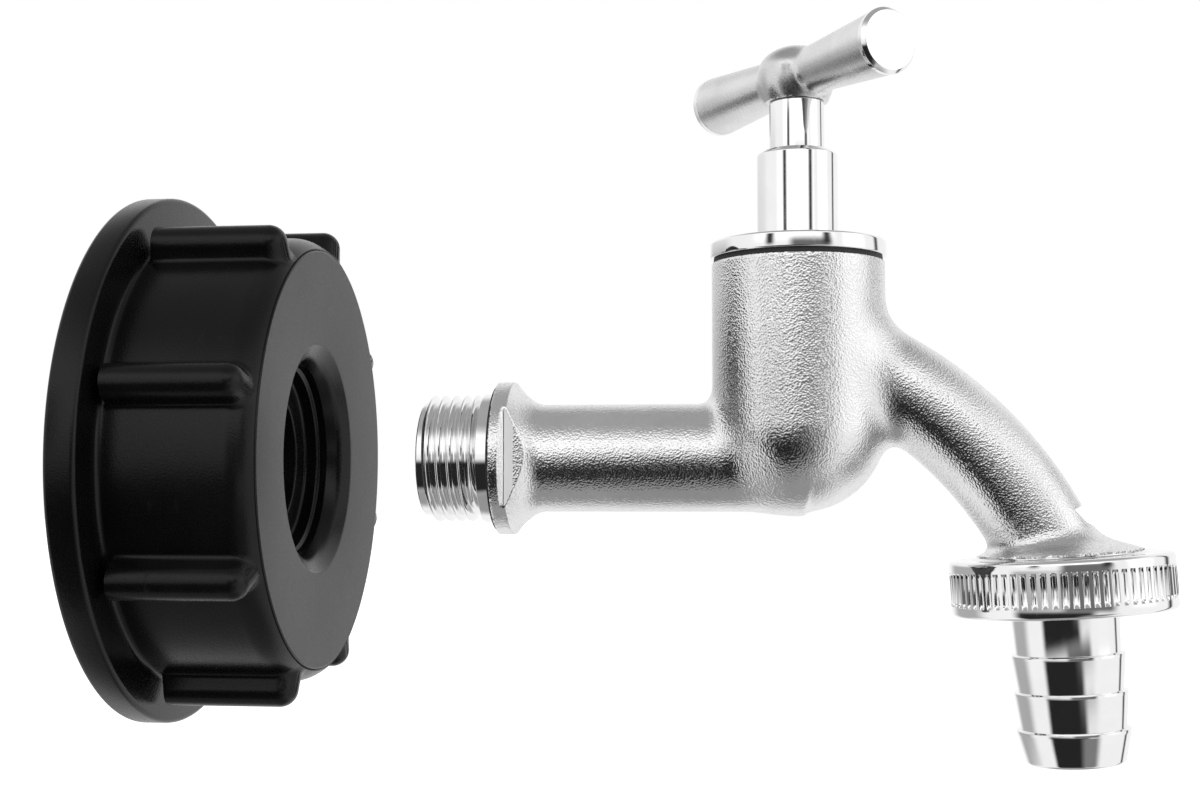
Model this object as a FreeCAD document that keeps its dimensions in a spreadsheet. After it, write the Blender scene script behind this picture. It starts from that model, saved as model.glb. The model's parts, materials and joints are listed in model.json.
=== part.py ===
import FreeCAD, Part
import math
import os
import Sketcher

# Tank adapter and bib tap for an intermediate bulk container, in millimetres.
# Row frame: X is the inlet axis and points from the tank to the tap, Z is up, and the origin is on the
# inlet axis where the cap's tank thread begins. The tap stands unscrewed in front of its cap.

DOCUMENT = FreeCAD.newDocument("ibc_tank_valve")
ABOUT_X = "H_Axis"
ABOUT_Z = "V_Axis"


# ---------------------------------------------------------------- driving sizes

CAP_SIZES = {
    "rim_reach": 7,
    "rim_thickness": 5,
    "rim_overhang": 1,
    "rim_edge": 0.8,
    "cap_wall": 6.8,
    "crease_drop": 2,
    "cap_depth": 27.8,
    "shoulder_radius": 6,
    "shoulder_length": 4.5,
    "face_dish": 0.9,
    "mouth_radius": 16,
    "mouth_round": 3.3,
    "mouth_step": 0.7,
    "mouth_step_depth": 2.4,
    "cup_wall": 3.5,
    "floor_wall": 3.2,
    "boss_radius": 14.2,
    "boss_edge": 0.5,
    "tank_thread_radius": 30.2,
    "tank_thread_depth": 22.5,
    "tank_thread_pitch": 6,
    "tank_thread_height": 2.6,
    "tank_thread_base": 4.6,
    "tank_thread_crest": 1.5,
    "tank_thread_slant": 0.9,
    "tank_thread_start": 1,
    "tank_thread_runout": 8.5,
    "rib_count": 8,
    "rib_height": 4.5,
    "rib_width": 5.8,
    "rib_end": 26.9,
    "rib_phase": -15.8,
    "gasket_width": 5.4,
    "gasket_gap": 0.3,
    "gasket_thickness": 2.5,
}

INLET_SIZES = {
    "inlet_thread_radius": 10.4775,
    "inlet_thread_pitch": 1.8143,
    "inlet_thread_chamfer": 0.6,
    "inlet_turns": 21,
    "shank_radius": 10.65,
    "shank_length": 2.4,
    "inlet_stub_length": 12.4,
    "inlet_reach": 61.5,
    "collar_radius": 12.6,
    "collar_width": 2.5,
    "collar_edge": 0.3,
    "flat_half_width": 9.7,
    "flat_start": 1.7,
    "flat_length": 7,
    "cone_length": 5.2,
    "cone_arc_radius": 6.76,
    "pipe_radius": 8.8,
    "inlet_bore_radius": 5.3,
    "seal_width": 1.15,
    "seal_thickness": 1.2,
    "seal_stand": 0.4,
}

CHAMBER_SIZES = {
    "tap_axis_x": 107,
    "body_radius": 14.05,
    "body_ball_height": 5.2,
    "body_top": 31.6,
    "lower_room_radius": 9.4,
    "seat_floor": 7.6,
    "seat_wall": 3,
    "seat_ring_rise": 1,
    "seat_ring_width": 1.7,
    "seat_hole_radius": 4.5,
    "upper_room_radius": 10.2,
    "bonnet_thread_radius": 11,
    "bonnet_thread_depth": 10.2,
}

SPOUT_SIZES = {
    "spout_radius": 7.9,
    "spout_bore_radius": 5.2,
    "spout_bend_radius": 62,
    "spout_start_height": 18.6,
    "spout_start_slope": 16,
    "spout_end_slope": 70,
    "outlet_lean": 3.5,
    "outlet_thread_radius": 13.2,
    "outlet_boss_rise": 2.6,
    "outlet_boss_top_radius": 5,
    "outlet_boss_edge": 0.5,
    "outlet_thread_length": 4,
    "outlet_face_drop": -0.4,
}

BONNET_SIZES = {
    "bonnet_seal_thickness": 0.8,
    "bonnet_seal_inset": 0.35,
    "bonnet_flange_radius": 14.3,
    "bonnet_flange_thickness": 2.6,
    "bonnet_flange_edge": 0.5,
    "bonnet_roof": 0.5,
    "neck_radius": 6.6,
    "neck_height": 15.1,
    "neck_bevel": 1,
}

SPINDLE_SIZES = {
    "stem_radius": 4.5,
    "stem_show": 8.1,
    "spindle_thread_radius": 6,
    "spindle_thread_length": 6.6,
    "spindle_thread_rise": 9.1,
    "thrust_washer_thickness": 0.8,
    "lower_stem_seal_drop": 12.5,
    "upper_stem_seal_drop": 7.9,
    "stem_seal_section": 0.63,
    "socket_outer_radius": 4.4,
    "socket_depth": 7.4,
    "square_size": 6,
    "square_length": 5.6,
    "jumper_stem_radius": 2.5,
    "jumper_stem_length": 6.9,
    "jumper_groove_depth": 0.7,
    "jumper_groove_width": 1.7,
    "jumper_groove_rise": 4.2,
    "jumper_plate_radius": 6.9,
    "jumper_plate_thickness": 2,
    "jumper_pin_radius": 0.75,
    "jumper_pin_length": 7.04,
    "washer_radius": 6.6,
    "washer_thickness": 2,
    "stud_radius": 1.5,
    "washer_nut_radius": 3.2,
    "washer_nut_height": 1.6,
    "stud_end": 0.3,
}

HANDLE_SIZES = {
    "hub_radius": 6.3,
    "hub_foot_radius": 4.9,
    "hub_height": 9.4,
    "hub_shoulder": 4.4,
    "bar_rise": 4.5,
    "bar_half_length": 24.6,
    "bar_root_radius": 3.5,
    "bar_end_radius": 5.15,
    "bar_end_chamfer": 0.5,
    "handle_turned": 35.3,
    "set_screw_radius": 2,
    "set_screw_rise": 3,
    "set_screw_socket": 0.9,
    "set_screw_socket_depth": 1.2,
    "set_screw_inset": 0.5,
}

UNION_SIZES = {
    "nut_radius": 17.4,
    "nut_height": 8.8,
    "nut_edge": 1,
    "nut_rise": 4.1,
    "nut_hole_radius": 8.95,
    "nozzle_collar_radius": 12.9,
    "nozzle_collar_thickness": 1.7,
    "nozzle_gasket_thickness": 1.4,
    "nozzle_gasket_radius": 12.7,
    "nozzle_gasket_ease": 0.6,
    "nozzle_guide_length": 2.3,
    "nozzle_neck_radius": 8.4,
    "nozzle_waist_radius": 8.1,
    "barb_radius": 8.75,
    "barb_count": 3,
    "barb_first": 11.2,
    "barb_pitch": 5.85,
    "barb_land": 0.5,
    "nozzle_length": 28.3,
    "nozzle_end_radius": 7.6,
    "nozzle_end_round": 0.7,
    "nozzle_bore_radius": 5.6,
}

CLEARANCES = {
    "thread_clearance": 0.05,
    "running_clearance": 0.05,
    "seat_clearance": 0.05,
    "shank_clearance": 0.2,
    "groove_clearance": 0.08,
    "pin_clearance": 0.01,
    "guide_clearance": 0.1,
    "cut_overrun": 1,
}

SIZE_GROUPS = [
    CAP_SIZES, INLET_SIZES, CHAMBER_SIZES, SPOUT_SIZES, BONNET_SIZES,
    SPINDLE_SIZES, HANDLE_SIZES, UNION_SIZES, CLEARANCES,
]


class Size:
    """A number together with the sheet formula that gives it."""

    def __init__(self, value, formula=None):
        self.value = float(value)
        self.formula = formula or repr(float(value))

    def __add__(self, other):
        other = as_size(other)
        return Size(self.value + other.value, "(%s + %s)" % (self.formula, other.formula))

    def __sub__(self, other):
        other = as_size(other)
        return Size(self.value - other.value, "(%s - %s)" % (self.formula, other.formula))

    def __mul__(self, other):
        other = as_size(other)
        return Size(self.value * other.value, "(%s * %s)" % (self.formula, other.formula))

    def __truediv__(self, other):
        other = as_size(other)
        return Size(self.value / other.value, "(%s / %s)" % (self.formula, other.formula))

    def __neg__(self):
        return Size(-self.value, "(0 - %s)" % self.formula)


def as_size(number):
    return number if isinstance(number, Size) else Size(number)


def sine(angle):
    return Size(math.sin(math.radians(angle.value)), "sin(%s * 1deg)" % angle.formula)


def cosine(angle):
    return Size(math.cos(math.radians(angle.value)), "cos(%s * 1deg)" % angle.formula)


class Sizes:
    """The driving sizes, each an aliased cell of one sheet."""

    def __init__(self, groups):
        self.sheet = DOCUMENT.addObject("Spreadsheet::Sheet", "Sizes")
        row = 0
        for group in groups:
            for name, value in group.items():
                row += 1
                self.sheet.set("A%d" % row, name)
                self.sheet.set("B%d" % row, str(value))
                self.sheet.setAlias("B%d" % row, name)
                setattr(self, name, Size(value, "Sizes." + name))
        DOCUMENT.recompute()


S = Sizes(SIZE_GROUPS)


# ---------------------------------------------------------------- helpers

def bind(thing, prop, size):
    thing.setExpression(prop, as_size(size).formula)


def new_body(name, x=0, y=0, z=0, about=(0, 0, 1), angle=0):
    """A body whose label names its file, placed by sheet formulas."""
    body = DOCUMENT.addObject("PartDesign::Body", name)
    body.Label = name
    rotation = FreeCAD.Rotation(FreeCAD.Vector(*about), as_size(angle).value)
    body.Placement = FreeCAD.Placement(FreeCAD.Vector(), rotation)
    bind(body, "Placement.Base.x", x)
    bind(body, "Placement.Base.y", y)
    bind(body, "Placement.Base.z", z)
    if as_size(angle).value:
        bind(body, "Placement.Rotation.Angle", angle)
    return body


def on_plane(body, name, role="XZ_Plane", dx=0, dy=0, dz=0, about=(0, 0, 1), angle=0):
    """An empty sketch on one of the body's own planes, shifted and turned in that plane's frame."""
    sketch = body.newObject("Sketcher::SketchObject", name)
    plane = [f for f in body.Origin.OriginFeatures if f.Role == role][0]
    sketch.AttachmentSupport = [(plane, "")]
    sketch.MapMode = "FlatFace"
    rotation = FreeCAD.Rotation(FreeCAD.Vector(*about), as_size(angle).value)
    sketch.AttachmentOffset = FreeCAD.Placement(FreeCAD.Vector(), rotation)
    bind(sketch, "AttachmentOffset.Base.x", dx)
    bind(sketch, "AttachmentOffset.Base.y", dy)
    bind(sketch, "AttachmentOffset.Base.z", dz)
    if as_size(angle).value:
        bind(sketch, "AttachmentOffset.Rotation.Angle", angle)
    return sketch


def drive(sketch, kind, where, size):
    """Adds one driving constraint and binds it to its formula."""
    index = sketch.addConstraint(Sketcher.Constraint(kind, *where, size.value))
    bind(sketch, "Constraints[%d]" % index, size)


def pin_point(sketch, geometry, end, across, up):
    """Holds one end of a side at its distance across and up from the sketch's origin."""
    for size, kind, axis in ((across, "DistanceX", -2), (up, "DistanceY", -1)):
        if size.value:
            drive(sketch, kind, (-1, 1, geometry, end), size)
        else:
            sketch.addConstraint(Sketcher.Constraint("PointOnObject", geometry, end, axis))


def arc_between(start, end, radius):
    """The short arc from start to end: a positive radius keeps its centre on the left of the way."""
    chord = end - start
    left = FreeCAD.Vector(-chord.y, chord.x, 0).normalize()
    size = abs(radius)
    offset = math.sqrt(max(size * size - chord.Length ** 2 / 4, 0))
    centre = (start + end) / 2 + left * math.copysign(offset, radius)
    circle = Part.Circle(centre, FreeCAD.Vector(0, 0, 1), size)
    first, last = (start, end) if radius > 0 else (end, start)
    angles = [math.atan2(p.y - centre.y, p.x - centre.x) for p in (first, last)]
    return Part.ArcOfCircle(circle, angles[0], angles[1])


def draw_loop(sketch, corners):
    """A closed outline. A corner is (across, up), or (across, up, radius) where an arc starts there."""
    corners = [tuple(as_size(c) for c in corner) for corner in corners]
    ends = []
    for index, corner in enumerate(corners):
        following = corners[(index + 1) % len(corners)]
        start = FreeCAD.Vector(corner[0].value, corner[1].value, 0)
        end = FreeCAD.Vector(following[0].value, following[1].value, 0)
        if len(corner) == 2:
            side = sketch.addGeometry(Part.LineSegment(start, end), False)
            ends.append((side, 1, 2))
        else:
            radius = corner[2]
            side = sketch.addGeometry(arc_between(start, end, radius.value), False)
            ends.append((side, 1, 2) if radius.value > 0 else (side, 2, 1))
    for index, corner in enumerate(corners):
        side, first, _ = ends[index]
        before, _, last = ends[index - 1]
        sketch.addConstraint(Sketcher.Constraint("Coincident", before, last, side, first))
        pin_point(sketch, side, first, corner[0], corner[1])
        if len(corner) == 3:
            length = corner[2] if corner[2].value > 0 else -corner[2]
            drive(sketch, "Radius", (side,), length)
    return sketch


def draw_circle(sketch, across, up, radius):
    across, up, radius = as_size(across), as_size(up), as_size(radius)
    centre = FreeCAD.Vector(across.value, up.value, 0)
    circle = sketch.addGeometry(Part.Circle(centre, FreeCAD.Vector(0, 0, 1), radius.value), False)
    pin_point(sketch, circle, 3, across, up)
    drive(sketch, "Radius", (circle,), radius)
    return sketch


def turned(body, name, corners, axis=ABOUT_Z, cut=False, **place):
    """Turns a closed outline about an axis of its own sketch, to add or to cut."""
    sketch = draw_loop(on_plane(body, name + "_outline", **place), corners)
    kind = "PartDesign::Groove" if cut else "PartDesign::Revolution"
    feature = body.newObject(kind, name)
    feature.Profile = sketch
    feature.ReferenceAxis = (sketch, [axis])
    feature.Angle = 360
    return feature


def padded(body, name, sketch, length, both_ways=False, cut=False):
    """Pads or cuts a sketch along its normal, or evenly both ways."""
    feature = body.newObject("PartDesign::Pocket" if cut else "PartDesign::Pad", name)
    feature.Profile = sketch
    bind(feature, "Length", length)
    feature.Midplane = both_ways
    return feature


def rectangle(sketch, left, bottom, right, top):
    return draw_loop(sketch, [(left, bottom), (right, bottom), (right, top), (left, top)])


def ring(name, inner, outer, low, high, axis=ABOUT_Z, **place):
    """A flat ring about its body's own axis."""
    body = new_body(name, **place)
    if axis == ABOUT_Z:
        corners = [(inner, low), (outer, low), (outer, high), (inner, high)]
    else:
        corners = [(low, inner), (high, inner), (high, outer), (low, outer)]
    turned(body, name + "_turn", corners, axis)
    return body


# ---------------------------------------------------------------- places shared by several pieces

COLLAR_FACE = -(S.inlet_reach - S.inlet_stub_length)
TAP_TRAVEL = S.inlet_turns * S.inlet_thread_pitch
CUP_FLOOR = S.tap_axis_x + COLLAR_FACE - TAP_TRAVEL - S.seal_stand
BOSS_BORE = S.inlet_thread_radius + S.thread_clearance
SEAT_UNDERSIDE = S.seat_floor - S.seat_wall
SEAT_TOP = S.seat_floor + S.seat_ring_rise
WASHER_BOTTOM = SEAT_TOP + S.seat_clearance
PLATE_BOTTOM = WASHER_BOTTOM + S.washer_thickness
PLATE_TOP = PLATE_BOTTOM + S.jumper_plate_thickness
SPINDLE_FOOT = PLATE_TOP + S.running_clearance
GROOVE_HEIGHT = PLATE_TOP + S.jumper_groove_rise
SPINDLE_THREAD_BOTTOM = SPINDLE_FOOT + S.spindle_thread_rise
SPINDLE_THREAD_TOP = SPINDLE_THREAD_BOTTOM + S.spindle_thread_length
FLANGE_BOTTOM = S.body_top + S.bonnet_seal_thickness
FLANGE_TOP = FLANGE_BOTTOM + S.bonnet_flange_thickness
NECK_TOP = FLANGE_TOP + S.neck_height
STEM_TOP = NECK_TOP + S.stem_show
STEM_SEALS = {
    "lower_stem_seal": NECK_TOP - S.lower_stem_seal_drop,
    "upper_stem_seal": NECK_TOP - S.upper_stem_seal_drop,
}
STEM_BORE = S.stem_radius + S.running_clearance
SEAL_GROOVE = STEM_BORE - S.stem_seal_section * 2 - S.groove_clearance
BEND_X = -(S.spout_bend_radius * sine(S.spout_start_slope))
BEND_Z = S.spout_start_height - S.spout_bend_radius * cosine(S.spout_start_slope)
OUTLET_X = BEND_X + S.spout_bend_radius * sine(S.spout_end_slope)
OUTLET_Z = BEND_Z + S.spout_bend_radius * cosine(S.spout_end_slope)
OUTLET_FACE = -S.outlet_face_drop
NOZZLE_TOP = OUTLET_FACE - S.nozzle_gasket_thickness
COLLAR_BOTTOM = NOZZLE_TOP - S.nozzle_collar_thickness
NUT_BOTTOM = S.nut_rise - S.nut_height

CAP_RADIUS = S.tank_thread_radius + S.cap_wall
CREASE_RADIUS = CAP_RADIUS - S.crease_drop

AT_TAP = {"x": S.tap_axis_x}
AT_OUTLET = {"x": S.tap_axis_x + OUTLET_X, "z": OUTLET_Z, "about": (0, 1, 0), "angle": -S.outlet_lean}


# ---------------------------------------------------------------- the screw-on cap

def adapter_cap():
    """The moulded cap: rim, shoulder, dished face, cup and boss in one outline, then ribs and thread."""
    body = new_body("adapter_cap", about=(1, 0, 0), angle=S.rib_phase)
    rim_back = -S.rim_overhang
    rim_front = S.rim_thickness - S.rim_overhang
    rim_radius = CAP_RADIUS + S.rim_reach
    face = S.cap_depth - S.face_dish
    step = CUP_FLOOR + S.mouth_step_depth
    floor_back = CUP_FLOOR - S.floor_wall
    boss_back = CUP_FLOOR - S.inlet_stub_length
    shank_seat = CUP_FLOOR - S.shank_length - S.seal_stand
    shank_bore = S.shank_radius + S.shank_clearance
    turned(body, "cap_turn", [
        (rim_back, S.tank_thread_radius + S.rim_overhang),
        (0, S.tank_thread_radius),
        (S.tank_thread_depth, S.tank_thread_radius),
        (S.tank_thread_depth, S.mouth_radius + S.cup_wall),
        (floor_back, S.mouth_radius + S.cup_wall),
        (floor_back, S.boss_radius),
        (boss_back + S.boss_edge, S.boss_radius),
        (boss_back, S.boss_radius - S.boss_edge),
        (boss_back, BOSS_BORE),
        (shank_seat, BOSS_BORE),
        (shank_seat, shank_bore),
        (CUP_FLOOR, shank_bore),
        (CUP_FLOOR, S.mouth_radius - S.mouth_step),
        (step, S.mouth_radius - S.mouth_step),
        (step, S.mouth_radius),
        (face - S.mouth_round, S.mouth_radius, -S.mouth_round),
        (face, S.mouth_radius + S.mouth_round),
        (S.cap_depth, CREASE_RADIUS, S.shoulder_radius),
        (S.cap_depth - S.shoulder_length, CAP_RADIUS),
        (rim_front + S.rim_edge, CAP_RADIUS, -S.rim_edge),
        (rim_front, CAP_RADIUS + S.rim_edge),
        (rim_front, rim_radius - S.rim_edge, S.rim_edge),
        (rim_front - S.rim_edge, rim_radius),
        (rim_back + S.rim_edge, rim_radius, S.rim_edge),
        (rim_back, rim_radius - S.rim_edge),
    ], ABOUT_X)
    rib_features = grip_rib(body, rim_front)
    pattern = body.newObject("PartDesign::PolarPattern", "ribs")
    pattern.Originals = rib_features
    pattern.Axis = ([f for f in body.Origin.OriginFeatures if f.Role == "X_Axis"][0], [""])
    pattern.Angle = 360
    bind(pattern, "Occurrences", S.rib_count)
    body.Tip = pattern
    tank_thread(body)
    return body


def grip_rib(body, rim_front):
    """One half-round rib: a straight stretch with a round back, and a round nose over the shoulder."""
    half = S.rib_width / 2
    top = CAP_RADIUS + S.rib_height
    crown = top - half
    root = CREASE_RADIUS - half
    nose = S.rib_end - half
    section = on_plane(body, "rib_section", "YZ_Plane", dz=rim_front - S.rim_edge)
    draw_loop(section, [
        (-half, root), (half, root), (half, crown, half), (0, top, half), (-half, crown),
    ])
    straight = padded(body, "rib_straight", section, nose - rim_front + S.rim_edge)
    round_nose = turned(body, "rib_nose", [
        (0, root), (half, root), (half, crown, half), (0, top),
    ], ABOUT_Z, dx=nose)
    return [straight, round_nose]


def tank_thread(body):
    """The coarse buttress thread inside the cap: one slanted section swept along a helix."""
    root = S.tank_thread_radius + S.running_clearance
    crest = S.tank_thread_radius - S.tank_thread_height
    middle = S.tank_thread_start + S.tank_thread_base / 2
    half_base = S.tank_thread_base / 2
    half_crest = S.tank_thread_crest / 2
    section = on_plane(body, "tank_thread_section", "XZ_Plane")
    draw_loop(section, [
        (middle - half_base, root),
        (middle + S.tank_thread_slant - half_crest, crest),
        (middle + S.tank_thread_slant + half_crest, crest),
        (middle + half_base, root),
    ])
    helix = body.newObject("PartDesign::AdditiveHelix", "tank_thread")
    helix.Profile = section
    helix.ReferenceAxis = ([f for f in body.Origin.OriginFeatures if f.Role == "X_Axis"][0], [""])
    helix.Mode = "pitch-height-angle"
    bind(helix, "Pitch", S.tank_thread_pitch)
    bind(helix, "Height", S.tank_thread_depth - S.tank_thread_runout)
    body.Tip = helix
    return helix


def tank_gasket():
    """The flat ring on the cap's land, which the tank's neck presses on."""
    land = S.tank_thread_depth
    outer = S.tank_thread_radius - S.gasket_gap
    return ring("tank_gasket", outer - S.gasket_width, outer, land - S.gasket_thickness, land, ABOUT_X)


# ---------------------------------------------------------------- the cast tap body

def valve_body():
    """Inlet stub, collar, pipe, ball-ended chamber, bent spout and outlet boss, then the waterways."""
    body = new_body("valve_body", **AT_TAP)
    inlet_outside(body)
    chamber_outside(body)
    spout_pipe(body, "spout", S.spout_radius)
    outlet_boss(body)
    wrench_flats(body)
    waterways(body)
    return body


def inlet_outside(body):
    """The turned stub and collar, the hollow cone behind the collar and the pipe into the chamber."""
    tip = -S.inlet_reach
    collar_back = COLLAR_FACE + S.collar_width
    turned(body, "inlet", [
        (tip, 0),
        (0, 0),
        (0, S.pipe_radius),
        (collar_back + S.cone_length, S.pipe_radius, -S.cone_arc_radius),
        (collar_back, S.collar_radius),
        (COLLAR_FACE + S.collar_edge, S.collar_radius),
        (COLLAR_FACE, S.collar_radius - S.collar_edge),
        (COLLAR_FACE, S.shank_radius),
        (COLLAR_FACE - S.shank_length, S.shank_radius),
        (COLLAR_FACE - S.shank_length, S.inlet_thread_radius),
        (tip + S.inlet_thread_chamfer, S.inlet_thread_radius),
        (tip, S.inlet_thread_radius - S.inlet_thread_chamfer),
    ], ABOUT_X)


def chamber_outside(body):
    """The upright chamber with its half-ball bottom."""
    bottom = S.body_ball_height - S.body_radius
    turned(body, "chamber", [
        (0, bottom, S.body_radius),
        (S.body_radius, S.body_ball_height),
        (S.body_radius, S.body_top),
        (0, S.body_top),
    ])


def spout_path(body, name):
    """One arc in the tap's middle plane, from the chamber's axis down to the outlet."""
    sketch = on_plane(body, name)
    start = FreeCAD.Vector(0, S.spout_start_height.value, 0)
    end = FreeCAD.Vector(OUTLET_X.value, OUTLET_Z.value, 0)
    arc = sketch.addGeometry(arc_between(start, end, -S.spout_bend_radius.value), False)
    pin_point(sketch, arc, 2, as_size(0), S.spout_start_height)
    pin_point(sketch, arc, 1, OUTLET_X, OUTLET_Z)
    drive(sketch, "Radius", (arc,), S.spout_bend_radius)
    return sketch


def spout_pipe(body, name, radius, cut=False):
    """Sweeps a round section along the spout's arc."""
    path = spout_path(body, name + "_path")
    section = on_plane(body, name + "_section", "YZ_Plane", dy=S.spout_start_height,
                       about=(1, 0, 0), angle=S.spout_start_slope)
    draw_circle(section, 0, 0, radius)
    DOCUMENT.recompute()
    kind = "PartDesign::SubtractivePipe" if cut else "PartDesign::AdditivePipe"
    pipe = body.newObject(kind, name)
    pipe.Profile = section
    pipe.Spine = (path, ["Edge1"])
    return pipe


def outlet_place():
    """The outlet's own sketch frame: origin at the spout's end, leaning with the outlet."""
    return {"dx": OUTLET_X, "dy": OUTLET_Z, "angle": S.outlet_lean}


def outlet_boss(body):
    """The low dome that the spout runs into, and the threaded stub below it."""
    shoulder = OUTLET_FACE + S.outlet_thread_length
    edge = S.outlet_boss_edge
    turned(body, "outlet", [
        (0, OUTLET_FACE),
        (S.outlet_thread_radius - edge, OUTLET_FACE),
        (S.outlet_thread_radius, OUTLET_FACE + edge),
        (S.outlet_thread_radius, shoulder),
        (S.outlet_thread_radius - edge, shoulder + edge),
        (S.outlet_boss_top_radius, shoulder + S.outlet_boss_rise),
        (0, shoulder + S.outlet_boss_rise),
    ], **outlet_place())
    faced = S.outlet_thread_radius + 1
    below = OUTLET_FACE - S.spout_radius
    turned(body, "outlet_facing", [
        (0, below), (faced, below), (faced, OUTLET_FACE), (0, OUTLET_FACE),
    ], cut=True, **outlet_place())


def wrench_flats(body):
    """Two flats across the collar and the cone behind it."""
    start = COLLAR_FACE + S.flat_start
    for name, side in (("near_flat", -1), ("far_flat", 1)):
        sketch = on_plane(body, name + "_outline", "XY_Plane")
        low = S.flat_half_width * side
        high = (S.collar_radius + S.cut_overrun) * side
        rectangle(sketch, start, low, start + S.flat_length, high)
        padded(body, name, sketch, S.collar_radius * 2 + 2, True, True)


def waterways(body):
    """Inlet bore, room under the seat, seat, room over it, bonnet thread and spout bore."""
    seal_inner = S.shank_radius + S.running_clearance * 2
    seal_outer = seal_inner + S.seal_width + S.running_clearance * 2
    seal_depth = S.seal_thickness - S.seal_stand
    tip = -S.inlet_reach
    turned(body, "seal_groove", [
        (COLLAR_FACE - 1, seal_inner), (COLLAR_FACE - 1, seal_outer),
        (COLLAR_FACE + seal_depth, seal_outer), (COLLAR_FACE + seal_depth, seal_inner),
    ], ABOUT_X, True)
    turned(body, "inlet_bore", [
        (tip - 1, 0), (tip - 1, S.inlet_bore_radius), (-S.seat_hole_radius, S.inlet_bore_radius),
        (-S.seat_hole_radius, 0),
    ], ABOUT_X, True)
    thread_bottom = S.body_top - S.bonnet_thread_depth
    ring_outer = S.seat_hole_radius + S.seat_ring_width
    turned(body, "upper_room", [
        (0, S.seat_floor), (S.upper_room_radius, S.seat_floor), (S.upper_room_radius, thread_bottom),
        (S.bonnet_thread_radius, thread_bottom), (S.bonnet_thread_radius, S.body_top + S.cut_overrun),
        (0, S.body_top + S.cut_overrun),
    ], cut=True)
    spout_pipe(body, "spout_bore", S.spout_bore_radius, True)
    turned(body, "outlet_bore", [
        (0, OUTLET_FACE - S.cut_overrun), (S.nozzle_bore_radius, OUTLET_FACE - S.cut_overrun),
        (S.nozzle_bore_radius, 0), (S.spout_bore_radius, S.cut_overrun), (0, S.cut_overrun),
    ], cut=True, **outlet_place())
    ring_inner = S.seat_hole_radius - S.cut_overrun
    ring_bottom = S.seat_floor - S.cut_overrun
    turned(body, "seat_ring", [
        (ring_inner, ring_bottom), (ring_outer, ring_bottom), (ring_outer, SEAT_TOP), (ring_inner, SEAT_TOP),
    ])
    turned(body, "lower_room", [
        (0, SEAT_UNDERSIDE - S.lower_room_radius, S.lower_room_radius),
        (S.lower_room_radius, SEAT_UNDERSIDE),
        (S.seat_hole_radius, SEAT_UNDERSIDE), (S.seat_hole_radius, SEAT_TOP + S.cut_overrun),
        (0, SEAT_TOP + S.cut_overrun),
    ], cut=True)


def inlet_seal():
    """The ring in the collar's face that seals on the cap's cup floor."""
    inner = S.shank_radius + S.running_clearance * 3
    face = COLLAR_FACE - S.seal_stand
    return ring("inlet_seal", inner, inner + S.seal_width, face, face + S.seal_thickness, ABOUT_X, **AT_TAP)


# ---------------------------------------------------------------- the headwork

def bonnet():
    """Screwed spigot, round flange and polished neck, bored for the spindle."""
    body = new_body("bonnet", **AT_TAP)
    spigot = S.bonnet_thread_radius - S.thread_clearance
    foot = S.body_top - S.bonnet_thread_depth + S.seat_clearance * 4
    thread_bore = S.spindle_thread_radius + S.thread_clearance
    edge = S.bonnet_flange_edge
    turned(body, "bonnet_turn", [
        (thread_bore, foot),
        (spigot, foot),
        (spigot, FLANGE_BOTTOM),
        (S.bonnet_flange_radius, FLANGE_BOTTOM),
        (S.bonnet_flange_radius, FLANGE_TOP - edge, edge),
        (S.bonnet_flange_radius - edge, FLANGE_TOP),
        (S.neck_radius, FLANGE_TOP),
        (S.neck_radius, NECK_TOP - S.neck_bevel),
        (S.neck_radius - S.neck_bevel, NECK_TOP),
        (STEM_BORE, NECK_TOP),
        (STEM_BORE, FLANGE_TOP - S.bonnet_roof),
        (thread_bore, FLANGE_TOP - S.bonnet_roof),
    ])
    return body


def bonnet_seal():
    """The thin flat ring between the chamber's top and the bonnet's flange."""
    inner = S.bonnet_thread_radius + S.running_clearance * 2
    outer = S.body_radius - S.bonnet_seal_inset
    return ring("bonnet_seal", inner, outer, S.body_top, FLANGE_BOTTOM, **AT_TAP)


def spindle():
    """Hollow foot, coarse thread, sealed stem and the square that carries the handle."""
    body = new_body("spindle", angle=S.handle_turned, **AT_TAP)
    bore = S.jumper_stem_radius + S.running_clearance
    half_groove = S.stem_seal_section + S.running_clearance
    outline = [
        (bore, SPINDLE_FOOT),
        (S.socket_outer_radius, SPINDLE_FOOT),
        (S.socket_outer_radius, SPINDLE_THREAD_BOTTOM),
        (S.spindle_thread_radius, SPINDLE_THREAD_BOTTOM),
        (S.spindle_thread_radius, SPINDLE_THREAD_TOP),
        (S.stem_radius, SPINDLE_THREAD_TOP),
    ]
    for height in STEM_SEALS.values():
        outline += [
            (S.stem_radius, height - half_groove),
            (SEAL_GROOVE, height - half_groove),
            (SEAL_GROOVE, height + half_groove),
            (S.stem_radius, height + half_groove),
        ]
    outline += [
        (S.stem_radius, STEM_TOP),
        (0, STEM_TOP),
        (0, SPINDLE_FOOT + S.socket_depth),
        (bore, SPINDLE_FOOT + S.socket_depth),
    ]
    turned(body, "spindle_turn", outline)
    half = S.square_size / 2
    section = on_plane(body, "square_section", "XY_Plane", dz=STEM_TOP - S.cut_overrun)
    padded(body, "square", rectangle(section, -half, -half, half, half), S.square_length + S.cut_overrun)
    pin_hole = on_plane(body, "pin_hole_outline", "YZ_Plane")
    draw_circle(pin_hole, pin_offset(), GROOVE_HEIGHT, S.jumper_pin_radius + S.pin_clearance)
    padded(body, "pin_hole", pin_hole, (S.socket_outer_radius + S.cut_overrun) * 2, True, True)
    return body


def pin_offset():
    """How far the cross pin stands off the axis, so that it just clears the bottom of the jumper's groove."""
    groove = S.jumper_stem_radius - S.jumper_groove_depth
    return groove + S.running_clearance + S.jumper_pin_radius


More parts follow.
